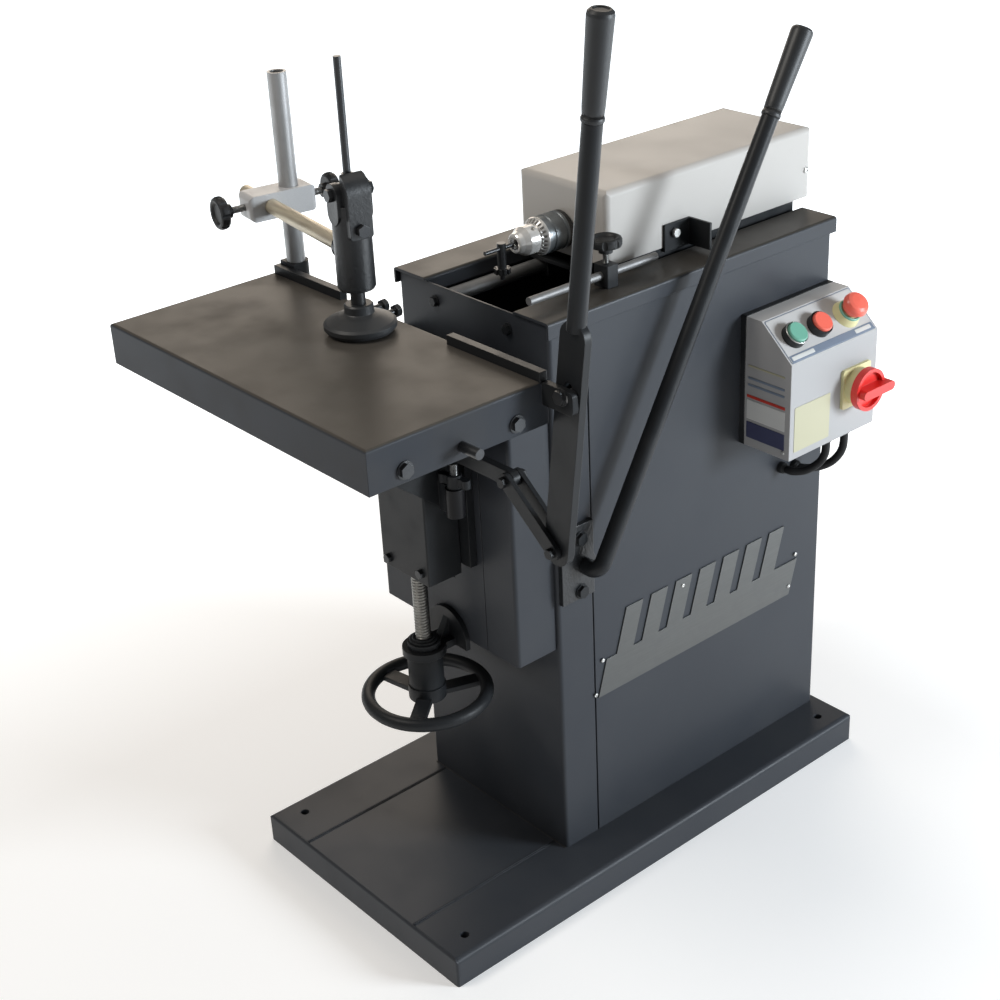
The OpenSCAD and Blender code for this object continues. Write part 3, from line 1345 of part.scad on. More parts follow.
// Three jaws closed on the key's cross bar
module chuck_jaws() color("#8d9093") machine() difference() {
    for (a = [0, 120, 240]) translate([0, chuck_y0 - 3, spindle_z]) rotate([0, a, 0])
        intersection() {
            translate([-2.6, 0, 0]) cube([5.2, 34, jaw_bore_d / 2 - gap]);
            translate([0, 34, 0]) rotate([90, 0, 0]) cylinder(r = jaw_bore_d / 2 - gap, h = 34);
        }
    bar_y(key_bar_d + 2 * fit, 0, [0, far], spindle_z);
}

// Chuck key hanging by its cross bar from the jaws
module chuck_key() color("#1c1c1e") machine() {
    bar_y(key_bar_d, 0, [key_y - 31, chuck_y0 + 16], spindle_z);
    difference() {
        union() {
            bar_z(13, 0, key_y, [spindle_z - key_shank + 16, spindle_z + 8]);
            bar_z(24, 0, key_y, [spindle_z - key_shank + 9, spindle_z - key_shank + 17]);
            bar_z(7, 0, key_y, [spindle_z - key_shank, spindle_z - key_shank + 16]);
        }
        for (i = [0:9]) translate([0, key_y, spindle_z - key_shank + 8]) rotate([0, 0, 36 * i])
            translate([8.5, -1.6, 0]) cube([8, 3.2, 10]);
    }
}

// Push button cap on a stem through the panel; z = 0 is the panel
module push_button(d, low, high) {
    translate([0, 0, low]) cylinder(d = d, h = high - low - 1.5);
    translate([0, 0, high - 1.5]) cylinder(d1 = d, d2 = d - 3, h = 1.5);
    translate([0, 0, -14]) cylinder(d = panel_hole_d, h = 14 + low);
}

module start_button() color("#3f8f6c") machine() on_slant(button_at[0])
    push_button(button_d, 2 + button_travel + gap, collar_up + 5);

module stop_button() color("#d8433c") machine() on_slant(button_at[1])
    push_button(button_d, 2 + button_travel + gap, collar_up + 5);

// Mushroom head with a domed face on a stem
module emergency_button() color("#e0453a") machine() on_slant(mushroom_at) {
    low = mushroom_base + mushroom_travel + gap + 4;
    r = mushroom_d / 2;
    rotate_extrude() polygon([[0, low], [r - 6, low], [r - 1, low + 3], [r, low + 6], [r - 0.6, low + 12],
        [r - 3, low + 15.5], [r - 8, low + 17.5], [0, low + 19]]);
    translate([0, 0, mushroom_base + mushroom_travel + gap]) cylinder(d = mushroom_d - 10, h = 6);
    translate([0, 0, -14]) cylinder(d = panel_hole_d, h = 14 + low);
}

// Turning ring with a pointed bar handle across it
module switch_knob() color("#e2402f") machine() translate([box_x + box_d + 20 + gap, switch_at[0], switch_at[1]])
    rotate([0, 90, 0]) {
        difference() {
            cylinder(d = switch_d, h = 12);
            translate([0, 0, 5]) cylinder(d = switch_d - 12, h = 12);
        }
        translate([0, 0, 4]) linear_extrude(20) round_bar([0, handle_w / 2 - switch_d / 2 + 4],
            [0, switch_d / 2 + handle_out], handle_w);
        translate([0, 0, -gap - 14]) cylinder(d = 10, h = 15);
    }

base_channels();
base_plates();
column_front();
column_shell();
top_rails();
guide_rods();
mast();
screw_bracket();
lever_bracket();
shaft_bushes();
frame_bolts();
stop_block();
control_box();
button_collars();
switch_plates();
control_cables();
name_plate();
knee_frame();
knee_box();
saddle_blocks();
lift_screw();
link_arm();
lock_wing_nut();
handwheel();
lift_nut();
table_top();
table_rods();
table_bolts();
fence_bars();
clamp_post();
clamp_block();
bar_knob();
post_knob();
clamp_bar();
clamp_sleeve();
clamp_pins();
clamp_lever();
clamp_plunger();
clamp_foot();
link_plates();
table_lever();
table_lever_grip();
feed_lever();
feed_lever_grip();
feed_arm();
carriage();
drive_motor();
motor_cover();
stop_angle();
stop_rod();
stop_knob();
spindle();
chuck_body();
chuck_ring();
chuck_jaws();
chuck_key();
start_button();
stop_button();
emergency_button();
switch_knob();
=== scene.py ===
import bpy
import math
import numpy as np
from mathutils import Matrix, Vector


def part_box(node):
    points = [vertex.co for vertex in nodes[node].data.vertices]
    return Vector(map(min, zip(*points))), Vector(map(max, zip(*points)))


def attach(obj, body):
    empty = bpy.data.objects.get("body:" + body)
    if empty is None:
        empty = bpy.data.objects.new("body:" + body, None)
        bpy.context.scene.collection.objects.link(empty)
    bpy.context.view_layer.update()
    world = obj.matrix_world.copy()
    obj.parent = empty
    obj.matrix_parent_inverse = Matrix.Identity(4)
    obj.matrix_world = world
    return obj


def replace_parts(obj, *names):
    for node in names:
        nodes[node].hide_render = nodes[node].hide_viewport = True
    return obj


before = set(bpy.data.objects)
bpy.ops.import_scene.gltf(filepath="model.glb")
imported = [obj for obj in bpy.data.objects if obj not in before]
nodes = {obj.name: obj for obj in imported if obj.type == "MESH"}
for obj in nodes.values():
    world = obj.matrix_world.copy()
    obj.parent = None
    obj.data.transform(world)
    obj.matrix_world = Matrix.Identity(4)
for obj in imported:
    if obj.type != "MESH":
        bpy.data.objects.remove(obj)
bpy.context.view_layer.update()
print("frame loaded:", len(nodes), "nodes")

# Camera at the photographed angle: azimuth from the front towards the lever side, elevation, roll
view = {"azimuth": 50.454, "elevation": 27.504, "roll": -2.98, "place": (1.8038, -1.6105, 1.8126),
        "lens": 62.82, "sensor": 36.0, "shiftY": 0.002, "clipEnd": 50}


def aimCamera(view):
    az, el, roll = (math.radians(view[k]) for k in ("azimuth", "elevation", "roll"))
    back = Vector((math.sin(az) * math.cos(el), -math.cos(az) * math.cos(el), math.sin(el)))
    right = Vector((math.cos(az), math.sin(az), 0))
    up = back.cross(right)
    camX = math.cos(roll) * right + math.sin(roll) * up
    camY = math.cos(roll) * up - math.sin(roll) * right
    turn = Matrix((camX, camY, back)).transposed().to_4x4()
    data = bpy.data.cameras.new("photoCamera")
    data.lens, data.sensor_width, data.shift_y = view["lens"], view["sensor"], view["shiftY"]
    data.clip_end = view["clipEnd"]
    camera = bpy.data.objects.new("photoCamera", data)
    camera.matrix_world = Matrix.Translation(view["place"]) @ turn
    bpy.context.scene.collection.objects.link(camera)
    bpy.context.scene.camera = camera


aimCamera(view)


class Value:
    # A number in a material: arithmetic on it adds Math nodes
    def __init__(self, shade, socket):
        self.shade, self.socket = shade, socket

    def join(self, operation, first, second):
        return self.shade.node("ShaderNodeMath", {"operation": operation}, {0: first, 1: second})

    def __add__(self, other):
        return self.join("ADD", self, other)

    def __sub__(self, other):
        return self.join("SUBTRACT", self, other)

    def __rsub__(self, other):
        return self.join("SUBTRACT", other, self)

    def __mul__(self, other):
        return self.join("MULTIPLY", self, other)

    def __gt__(self, other):
        return self.join("GREATER_THAN", self, other)

    def __lt__(self, other):
        return self.join("LESS_THAN", self, other)

    __radd__, __rmul__ = __add__, __mul__


# Edges of the machine's finishes: samples of their rounding, and the cosines between which one comes to show
rounding = {"samples": 4, "shown": (0.995, 0.86)}


class Shade:
    # A material whose nodes are all made by one method
    def __init__(self, name):
        self.material = bpy.data.materials.new(name)
        self.material.use_nodes = True
        self.tree = self.material.node_tree
        self.shader = self.tree.nodes["Principled BSDF"]

    def feed(self, socket, value):
        if isinstance(value, Value):
            self.tree.links.new(value.socket, socket)
        else:
            socket.default_value = value

    def node(self, kind, settings=None, sockets=None, out=0):
        made = self.tree.nodes.new(kind)
        for key, value in (settings or {}).items():
            setattr(made, key, value)
        for key, value in (sockets or {}).items():
            self.feed(made.inputs[key], value)
        return Value(self, made.outputs[out])

    def place(self):
        # Object coordinates, which are the frame's metres
        return self.node("ShaderNodeTexCoord", out=3)

    def normal(self):
        return self.node("ShaderNodeNewGeometry", out=1)

    def rounded(self, radius):
        return self.node("ShaderNodeBevel", {"samples": rounding["samples"]}, {"Radius": radius})

    def dot(self, first, second):
        return self.node("ShaderNodeVectorMath", {"operation": "DOT_PRODUCT"}, {0: first, 1: second}, out=1)

    def axis(self, vector, index):
        return self.node("ShaderNodeSeparateXYZ", sockets={0: vector}, out=index)

    def noise(self, scale, detail, stretch=(1, 1, 1)):
        where = self.node("ShaderNodeMapping", sockets={"Vector": self.place(), "Scale": stretch})
        return self.node("ShaderNodeTexNoise", sockets={"Vector": where, "Scale": scale, "Detail": detail})

    def band(self, value, low, high):
        sockets = {"Value": value, "From Min": low, "From Max": high}
        return self.node("ShaderNodeMapRange", {"clamp": True}, sockets)

    def blend(self, mask, a, b):
        # The colours of a Mix node are its inputs 6 and 7 and its output 2
        return self.node("ShaderNodeMix", {"data_type": "RGBA"}, {0: mask, 6: a, 7: b}, out=2)

    def edges(self, radius):
        # How far the rounded normal departs from the plain one: bright along edges
        return self.band(self.dot(self.rounded(radius), self.normal()), *rounding["shown"])

    def relief(self, height, depth, strength, edge):
        # Fine bumps over rounded edges
        sockets = {"Height": height, "Distance": depth, "Strength": strength, "Normal": self.rounded(edge)}
        self.feed(self.shader.inputs["Normal"], self.node("ShaderNodeBump", sockets=sockets))

    def surface(self, colour, rough, **others):
        for key, value in {"Base Color": colour, "Roughness": rough, **others}.items():
            self.feed(self.shader.inputs[key], value)
        return self.material


def rgb(*parts):
    return tuple(parts) + (1.0,)


# White paper floor that glows more behind the machine and far out on its left, under an even sky
studio = {"floorSize": 30.0, "paper": rgb(0.86, 0.86, 0.86), "paperRough": 0.9, "sky": rgb(1, 1, 1),
          "glow": 0.16, "tones": "Standard", "floorGlow": 1.5, "nearGlow": rgb(0.2, 0.2, 0.2),
          "farGlow": rgb(0.90, 0.96, 1.0), "behind": (0, 1, 0), "behindSpan": (0.6, 2.6),
          "beside": (-1, 0, 0), "besideSpan": (0.6, 3.4)}
# Soft studio lights: name, place, aim, size, watts and colour
lamps = [("topSoftbox", (0.3, 0.6, 3.6), (0.0, 0.0, 0.8), 2.4, 10.0, (1.0, 0.93, 0.85)),
         ("sideSoftbox", (3.4, 2.2, 1.45), (0.1, 0.2, 0.7), 1.3, 172.0, (0.85, 0.93, 1.0)),
         ("frontSoftbox", (-0.7, -1.9, 3.3), (0.0, 0.0, 1.0), 1.2, 42.0, (1.0, 0.95, 0.88)),
         ("backSoftbox", (-2.3, 1.6, 1.95), (0.0, -0.3, 0.8), 2.4, 34.0, (1.0, 0.88, 0.75))]


def paperFloor(studio):
    s = Shade("paperFloor")
    place, glow = s.place(), studio["nearGlow"]
    for way in ("behind", "beside"):
        reach = s.band(s.dot(place, studio[way]), *studio[way + "Span"])
        glow = s.blend(reach, glow, studio["farGlow"])
    emission = {"Emission Color": glow, "Emission Strength": studio["floorGlow"]}
    return s.surface(studio["paper"], studio["paperRough"], **emission)


def setStage(studio):
    mesh = bpy.data.meshes.new("studioFloor")
    half = studio["floorSize"] / 2
    corners = [(-half, -half, 0), (half, -half, 0), (half, half, 0), (-half, half, 0)]
    mesh.from_pydata(corners, [], [(0, 1, 2, 3)])
    mesh.materials.append(paperFloor(studio))
    floor = bpy.data.objects.new("studioFloor", mesh)
    bpy.context.scene.collection.objects.link(floor)
    world = bpy.context.scene.world or bpy.data.worlds.new("studioGlow")
    bpy.context.scene.world = world
    world.use_nodes = True
    bpy.context.scene.view_settings.view_transform = studio["tones"]
    sky = world.node_tree.nodes.get("Background") or world.node_tree.nodes.new("ShaderNodeBackground")
    sky.inputs["Color"].default_value = studio["sky"]
    sky.inputs["Strength"].default_value = studio["glow"]


def hangLamp(name, place, aim, size, watts, colour):
    data = bpy.data.lights.new(name, "AREA")
    data.shape, data.size, data.energy, data.color = "DISK", size, watts, colour
    lamp = bpy.data.objects.new(name, data)
    turn = (Vector(place) - Vector(aim)).to_track_quat("Z", "Y").to_matrix().to_4x4()
    lamp.matrix_world = Matrix.Translation(place) @ turn
    bpy.context.scene.collection.objects.link(lamp)


setStage(studio)
for lamp in lamps:
    hangLamp(*lamp)
print("camera and studio set")


# Places given to spot are millimetres from the machine's middle, the column's front face and the floor
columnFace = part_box("column_front")[0].y


def spot(x, y, z):
    return np.array((x / 1000, columnFace + y / 1000, z / 1000))


# Planes where a node takes other tones: axis, side, and place on that axis in metres
planes = {"leverLug": (0, 1, spot(296.5, 0, 0)[0]), "postSocket": (1, 1, spot(0, -121.5, 0)[1]),
          "lockBoss": (0, 1, spot(78, 0, 0)[0]), "boxBackFrame": (0, -1, spot(174.2, 0, 0)[0]),
          "ringTeeth": (1, -1, spot(0, 131, 0)[1]), "pinEnd": (0, 1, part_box("table_bolts")[1].x - 0.001),
          "chuckFlange": (1, 1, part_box("chuck_body")[1].y - 0.0084)}
# Between these values of its normal's Z a face comes to count as a top face; some paints make top faces
# lighter there, as painted light from above
upward = (0.5, 0.8)


def patchMask(s, where):
    # Faces that look up, or what lies beyond one of the planes
    if where == "up":
        return s.band(s.axis(s.normal(), 2), *upward)
    index, side, limit = planes[where]
    place = s.axis(s.place(), index)
    return place > limit if side > 0 else place < limit


def patched(s, spec, mask):
    # Two tones mixed by a mask, and another pair of tones on each patch
    tone = s.blend(mask, spec["dark"], spec["light"])
    for patch in spec["patches"]:
        tone = s.blend(patchMask(s, patch["where"]), tone, s.blend(mask, patch["dark"], patch["light"]))
    return tone


def enamel(name, spec):
    # Sprayed paint: cloudy tone, fine orange-peel grain, dull dust and brighter rubbed edges
    s = Shade(name)
    cloud = s.noise(spec["cloud"], detail=4)
    dust = s.band(s.noise(spec["cloud"] * spec["dustScale"], detail=5), *spec["dustBand"])
    worn = s.band(s.noise(spec["wearScale"], detail=4), *spec["wearBand"])
    rub = s.edges(spec["edge"]) * worn * spec["rub"]
    tone = s.blend(dust * spec["dust"], patched(s, spec, cloud), spec["dustTone"])
    tone = s.blend(rub, tone, spec["bare"])
    rough = spec["rough"] + spec["dustRough"] * dust - spec["rubRough"] * rub
    peel = spec["peel"] * s.noise(spec["grain"] * spec["peelScale"], detail=3)
    s.relief(s.noise(spec["grain"], detail=2) + peel, spec["grainDepth"], spec["bump"], spec["edge"])
    return s.surface(tone, rough, **{"Specular IOR Level": spec["gloss"]})


framePaint = {"cloud": 2.2, "dust": 0.2, "dustScale": 4.3, "dustBand": (0.42, 0.72), "dustRough": 0.14,
              "edge": 0.0016, "rub": 0.4, "wearScale": 26, "wearBand": (0.44, 0.62), "rubRough": 0.1,
              "grain": 620, "grainDepth": 0.00016, "peel": 0.35, "peelScale": 0.22, "bump": 0.35,
              "rough": 0.36, "gloss": 0.2, "patches": [], "dark": rgb(0.030, 0.033, 0.039),
              "light": rgb(0.044, 0.049, 0.058), "dustTone": rgb(0.065, 0.066, 0.068),
              "bare": rgb(0.11, 0.11, 0.11)}
machinePaint = dict(framePaint, dark=rgb(0.013, 0.0145, 0.016), light=rgb(0.021, 0.0225, 0.025),
                    cloud=6, rough=0.34, dustTone=rgb(0.03, 0.03, 0.03))
blackTone = {"dark": machinePaint["dark"], "light": machinePaint["light"]}
tablePaint = dict(framePaint, cloud=3.0, gloss=0.1, dust=0.25, dustTone=rgb(0.07, 0.065, 0.058), patches=[
    # Top faces painted lighter and browner: painted sheen
    {"where": "up", "dark": rgb(0.060, 0.054, 0.047), "light": rgb(0.086, 0.078, 0.068)},
    dict(blackTone, where="leverLug"),
    dict(blackTone, where="postSocket")])
railPaint = dict(framePaint, patches=[
    # Rail tops painted lighter and browner: painted sheen
    {"where": "up", "dark": rgb(0.036, 0.033, 0.029), "light": rgb(0.056, 0.051, 0.044)}])
kneePaint = dict(machinePaint, patches=[
    # Beyond the lock boss the knee frame is painted near black: painted shade under the table
    {"where": "lockBoss", "dark": rgb(0.004, 0.004, 0.005), "light": rgb(0.007, 0.007, 0.008)}])
castPaint = dict(machinePaint, grain=260, grainDepth=0.0005, rough=0.40)
roughCast = dict(castPaint, grain=190, grainDepth=0.0022, rough=0.30, gloss=0.5)
sleeveCast = dict(roughCast, grainDepth=0.0011)
coverPaint = dict(framePaint, dark=rgb(0.46, 0.44, 0.415), light=rgb(0.52, 0.50, 0.475), rough=0.42,
                  rub=0.25, dust=0.08, dustTone=rgb(0.41, 0.38, 0.35), bare=rgb(0.62, 0.61, 0.59),
                  grainDepth=0.0001)
boxPaint = dict(coverPaint, dark=rgb(0.36, 0.355, 0.355), light=rgb(0.41, 0.405, 0.405),
                dustTone=rgb(0.32, 0.32, 0.32), patches=[
                    # Top faces painted lighter: painted light from above
                    {"where": "up", "dark": rgb(0.56, 0.55, 0.54), "light": rgb(0.62, 0.61, 0.60)},
                    # Behind 174.2 mm across, next to the column, the box is painted black
                    dict(blackTone, where="boxBackFrame")])


def groundMetal(name, spec):
    # Ground or turned metal: fine lines along one axis, faint stains
    s = Shade(name)
    lines = s.noise(spec["lines"], detail=3, stretch=spec["stretch"])
    stain = s.band(s.noise(spec["stain"], detail=4), *spec["stainBand"])
    tone = s.blend(stain * spec["stained"], patched(s, spec, lines), spec["stainTone"])
    rough = spec["rough"] + spec["lineRough"] * lines + spec["stainRough"] * stain - spec["polish"]
    s.relief(lines, spec["lineDepth"], spec["bump"], spec["edge"])
    return s.surface(tone, rough, Metallic=spec["metal"])


groundSteel = {"lines": 900, "stretch": (1, 0.04, 1), "lineRough": 0.16, "lineDepth": 0.00006, "bump": 0.25,
               "stain": 30, "stained": 0.35, "stainBand": (0.45, 0.75), "stainRough": 0.12, "edge": 0.0007,
               "rough": 0.28, "polish": 0.08, "metal": 1.0, "patches": [], "dark": rgb(0.50, 0.50, 0.50),
               "light": rgb(0.68, 0.68, 0.67), "stainTone": rgb(0.36, 0.34, 0.31)}
rodSteel = dict(groundSteel, dark=rgb(0.20, 0.20, 0.20), light=rgb(0.28, 0.28, 0.28), rough=0.50, metal=0.6,
                stainTone=rgb(0.14, 0.135, 0.13))
screwSteel = dict(groundSteel, dark=rgb(0.26, 0.25, 0.23), light=rgb(0.48, 0.47, 0.44), stretch=(1, 1, 1),
                  rough=0.4, stainTone=rgb(0.05, 0.045, 0.04))
blackSteel = dict(groundSteel, dark=rgb(0.034, 0.036, 0.039), light=rgb(0.065, 0.068, 0.072), metal=0.6,
                  rough=0.30, stainTone=rgb(0.085, 0.08, 0.075), stretch=(1, 1, 1))
ringSteel = dict(blackSteel, dark=rgb(0.14, 0.155, 0.165), light=rgb(0.26, 0.28, 0.29), patches=[
    {"where": "ringTeeth", "dark": rgb(0.55, 0.54, 0.52), "light": rgb(0.75, 0.74, 0.72)}])
pinSteel = dict(blackSteel, patches=[
    # The bolts' last millimetre painted bright: painted highlight on their ends
    {"where": "pinEnd", "dark": rgb(0.45, 0.45, 0.45), "light": rgb(0.6, 0.6, 0.6)}])
zincBolt = dict(groundSteel, dark=rgb(0.52, 0.52, 0.51), light=rgb(0.72, 0.72, 0.70), stretch=(1, 1, 1),
                rough=0.3)
postSteel = dict(groundSteel, dark=rgb(0.33, 0.33, 0.33), light=rgb(0.43, 0.43, 0.43), stretch=(1, 1, 0.03),
                 metal=0.55, rough=0.4, stainTone=rgb(0.28, 0.28, 0.275))
zincYellow = dict(groundSteel, lines=150, dark=rgb(0.30, 0.25, 0.19), light=rgb(0.78, 0.71, 0.54),
                  stretch=(0.05, 1, 1), stain=16, stained=0.4, stainTone=rgb(0.36, 0.31, 0.27), rough=0.42,
                  metal=0.6)
chuckBright = dict(groundSteel, dark=rgb(0.74, 0.72, 0.69), light=rgb(0.92, 0.91, 0.89), lines=300,
                   stretch=(1, 12, 1), rough=0.16, metal=0.4, patches=[
                       {"where": "chuckFlange", "dark": rgb(0.03, 0.03, 0.03),
                        "light": rgb(0.05, 0.05, 0.05)}])
greyCasting = dict(groundSteel, dark=rgb(0.46, 0.46, 0.465), light=rgb(0.53, 0.53, 0.535), metal=0.1,
                   stretch=(1, 1, 1), rough=0.42, lines=420, stainTone=rgb(0.5, 0.49, 0.48))
plateMetal = dict(groundSteel, dark=rgb(0.095, 0.098, 0.096), light=rgb(0.14, 0.143, 0.141), metal=0.7,
                  stretch=(1, 0.02, 1), rough=0.40, stainTone=rgb(0.11, 0.11, 0.11))
bronze = dict(groundSteel, dark=rgb(0.42, 0.28, 0.12), light=rgb(0.6, 0.44, 0.22), stretch=(1, 1, 1))


def moulded(name, spec):
    # Moulded plastic or rubber: faint flow marks, fine spark-eroded texture, scuffed edges
    s = Shade(name)
    flow = s.noise(spec["flow"], detail=3)
    worn = s.band(s.noise(spec["wearScale"], detail=4), *spec["wearBand"])
    scuff = s.edges(spec["edge"]) * worn * spec["scuff"]
    tone = s.blend(scuff, s.blend(flow, spec["dark"], spec["light"]), spec["scuffTone"])
    rough = spec["rough"] + spec["flowRough"] * flow + spec["scuffRough"] * scuff
    s.relief(s.noise(spec["grain"], detail=2), spec["grainDepth"], spec["bump"], spec["edge"])
    return s.surface(tone, rough, **{"Specular IOR Level": spec["gloss"]})


blackPlastic = {"flow": 9, "flowRough": 0.08, "edge": 0.001, "scuff": 0.5, "wearScale": 60,
                "wearBand": (0.45, 0.65), "scuffRough": 0.1, "grain": 1400, "grainDepth": 0.00008,
                "bump": 0.3, "rough": 0.40, "gloss": 0.3, "dark": rgb(0.014, 0.015, 0.016),
                "light": rgb(0.022, 0.023, 0.024), "scuffTone": rgb(0.09, 0.09, 0.09)}
footRubber = dict(blackPlastic, dark=rgb(0.024, 0.025, 0.027), light=rgb(0.036, 0.038, 0.040), gloss=0.4)
gripPlastic = dict(blackPlastic, dark=rgb(0.014, 0.015, 0.017), light=rgb(0.023, 0.025, 0.027), gloss=0.5)
cableRubber = dict(blackPlastic, rough=0.55, dark=rgb(0.006, 0.006, 0.007), light=rgb(0.011, 0.011, 0.012))
redPlastic = dict(blackPlastic, dark=rgb(0.84, 0.135, 0.09), light=rgb(0.90, 0.17, 0.12), rough=0.26,
                  scuff=0.25, scuffTone=rgb(0.8, 0.3, 0.25), grainDepth=0.00003, gloss=0.5)
switchRed = dict(redPlastic, dark=rgb(0.66, 0.020, 0.016), light=rgb(0.74, 0.032, 0.026))
greenPlastic = dict(redPlastic, dark=rgb(0.15, 0.40, 0.30), light=rgb(0.20, 0.47, 0.36),
                    scuffTone=rgb(0.4, 0.6, 0.5))
creamPlastic = dict(redPlastic, dark=rgb(0.66, 0.60, 0.30), light=rgb(0.72, 0.67, 0.38),
                    scuffTone=rgb(0.8, 0.76, 0.6))
labelWhite = dict(redPlastic, dark=rgb(0.62, 0.62, 0.60), light=rgb(0.70, 0.70, 0.68),
                  scuffTone=rgb(0.5, 0.5, 0.5), rough=0.4)
labelYellow = dict(labelWhite, dark=rgb(0.40, 0.38, 0.25), light=rgb(0.45, 0.43, 0.30))
labelBlue = dict(labelWhite, dark=rgb(0.045, 0.05, 0.11), light=rgb(0.065, 0.07, 0.14))
labelSlate = dict(labelWhite, dark=rgb(0.16, 0.20, 0.26), light=rgb(0.20, 0.24, 0.31))
labelRed = dict(labelWhite, dark=rgb(0.45, 0.03, 0.02), light=rgb(0.55, 0.05, 0.03))

# How each finish is made, its values, and the nodes that it dresses
finishes = {
    "framePaint": (enamel, framePaint,
                   ["base_channels", "base_plates", "column_front", "column_shell", "mast"]),
    "railPaint": (enamel, railPaint, ["top_rails"]),
    "kneePaint": (enamel, kneePaint, ["knee_frame"]),
    "machinePaint": (enamel, machinePaint,
                     ["screw_bracket", "knee_box", "link_arm", "frame_bolts", "link_plates", "table_lever",
                      "feed_lever", "stop_angle", "stop_block", "fence_bars", "carriage", "drive_motor",
                      "feed_arm"]),
    "tablePaint": (enamel, tablePaint, ["table_top"]),
    "castPaint": (enamel, castPaint, ["handwheel", "lift_nut", "saddle_blocks", "lock_wing_nut"]),
    "roughCast": (enamel, roughCast, ["lever_bracket"]),
    "sleeveCast": (enamel, sleeveCast, ["clamp_sleeve"]),
    "coverPaint": (enamel, coverPaint, ["motor_cover"]),
    "boxPaint": (enamel, boxPaint, ["control_box"]),
    "groundSteel": (groundMetal, groundSteel, ["table_rods", "spindle", "chuck_jaws"]),
    "rodSteel": (groundMetal, rodSteel, ["guide_rods", "stop_rod"]),
    "ringSteel": (groundMetal, ringSteel, ["chuck_ring"]),
    "zincBolt": (groundMetal, zincBolt, []),
    "screwSteel": (groundMetal, screwSteel, ["lift_screw"]),
    "blackSteel": (groundMetal, blackSteel, ["clamp_pins", "clamp_plunger", "chuck_key", "clamp_lever"]),
    "pinSteel": (groundMetal, pinSteel, ["table_bolts"]),
    "postSteel": (groundMetal, postSteel, ["clamp_post"]),
    "zincYellow": (groundMetal, zincYellow, ["clamp_bar"]),
    "chuckBright": (groundMetal, chuckBright, ["chuck_body"]),
    "greyCasting": (groundMetal, greyCasting, ["clamp_block"]),
    "plateMetal": (groundMetal, plateMetal, ["name_plate"]),
    "bronze": (groundMetal, bronze, ["shaft_bushes"]),
    "blackPlastic": (moulded, blackPlastic, ["bar_knob", "post_knob", "stop_knob", "button_collars"]),
    "footRubber": (moulded, footRubber, ["clamp_foot"]),
    "gripPlastic": (moulded, gripPlastic, ["table_lever_grip", "feed_lever_grip"]),
    "cableRubber": (moulded, cableRubber, ["control_cables"]),
    "redPlastic": (moulded, redPlastic, ["stop_button", "emergency_button"]),
    "switchRed": (moulded, switchRed, ["switch_knob"]),
    "greenPlastic": (moulded, greenPlastic, ["start_button"]),
    "creamPlastic": (moulded, creamPlastic, ["switch_plates"]),
    "labelWhite": (moulded, labelWhite, []),
    "labelYellow": (moulded, labelYellow, []),
    "labelBlue": (moulded, labelBlue, []),
    "labelSlate": (moulded, labelSlate, []),
    "labelRed": (moulded, labelRed, []),
}
materials = {}
for name, (make, spec, dressed) in finishes.items():
    materials[name] = make(name, spec)
    for node in dressed:
        nodes[node].data.materials.clear()
        nodes[node].data.materials.append(materials[name])
print("finishes made:", len(materials))


def skin(rings, loop=False):
    # Rings of points joined by quads: a loop closes on its first ring, open ends get a flat cap
    count, around = rings.shape[:2]
    grid = np.arange(count * around).reshape(count, around)
    upper = np.roll(grid, -1, axis=0)
    quads = np.stack((grid, np.roll(grid, -1, axis=1), np.roll(upper, -1, axis=1), upper), axis=-1)
    if loop:
        return rings.reshape(-1, 3), [quads.reshape(-1, 4)]
    return rings.reshape(-1, 3), [quads[:-1].reshape(-1, 4), grid[:1, ::-1], grid[-1:]]


def circle(around):
    return np.linspace(0, 2 * np.pi, around, endpoint=False)


def roundRings(radius, angle, height):
    # Points at a radius and an angle about the Z axis, and at a height
    return np.stack((radius * np.cos(angle), radius * np.sin(angle), height + 0 * angle), axis=-1)


def turned(profile, around=40, loop=False):
    # Each radius and height of the profile, in millimetres, carried round the Z axis
    profile = np.array(profile) / 1000
    return skin(roundRings(profile[:, :1], circle(around), profile[:, 1:]), loop)


# Hexagon heads: points around, the flat top's radius as a share of the width, the share of the height
# below the chamfer, and half the angle of a side
hexagon = {"around": 48, "top": 0.475, "shoulder": 0.84, "halfSide": np.pi / 6}


def hexHead(width, height, foot=0.0):
    # Half the width over the cosine of the angle from the nearest side, drawn in to a circle on top
    angle, turn = circle(hexagon["around"]), hexagon["halfSide"]
    outline = width / 2000 / np.cos((angle + turn) % (2 * turn) - turn)
    radius = np.stack((outline, outline, np.minimum(outline, width * hexagon["top"] / 1000)))
    rise = np.array((foot, foot + hexagon["shoulder"] * height, foot + height))[:, None] / 1000
    return skin(roundRings(radius, angle, rise))


# Bolts that stand out: height of the head and radius of the shank as shares of the width, and the overlap
bolt = {"head": 0.5, "shank": 0.28, "overlap": 1, "around": 24}


def hexBolt(width, reach):
    # A round shank that stands out, with a hexagon head at its far end
    radius = bolt["shank"] * width
    head = hexHead(width, bolt["head"] * width, reach)
    shank = turned([(radius, 0), (radius, reach + bolt["overlap"])], bolt["around"])
    return np.vstack((head[0], shank[0])), head[1] + [block + len(head[0]) for block in shank[1]]


# Pan heads with a socket: outline in shares of the radius and the height
pan = {"outline": [(1, 0), (1, 0.3), (0.88, 0.72), (0.5, 1), (0.42, 1), (0.30, 0.5)], "around": 32}


def panHead(radius, height):
    return turned(np.array(pan["outline"]) * (radius, height), pan["around"])


# Plates: points around, height of the straight wall and inset of the top edge as shares of the thickness
plateEdge = {"around": 32, "wall": 0.6, "inset": 0.4}


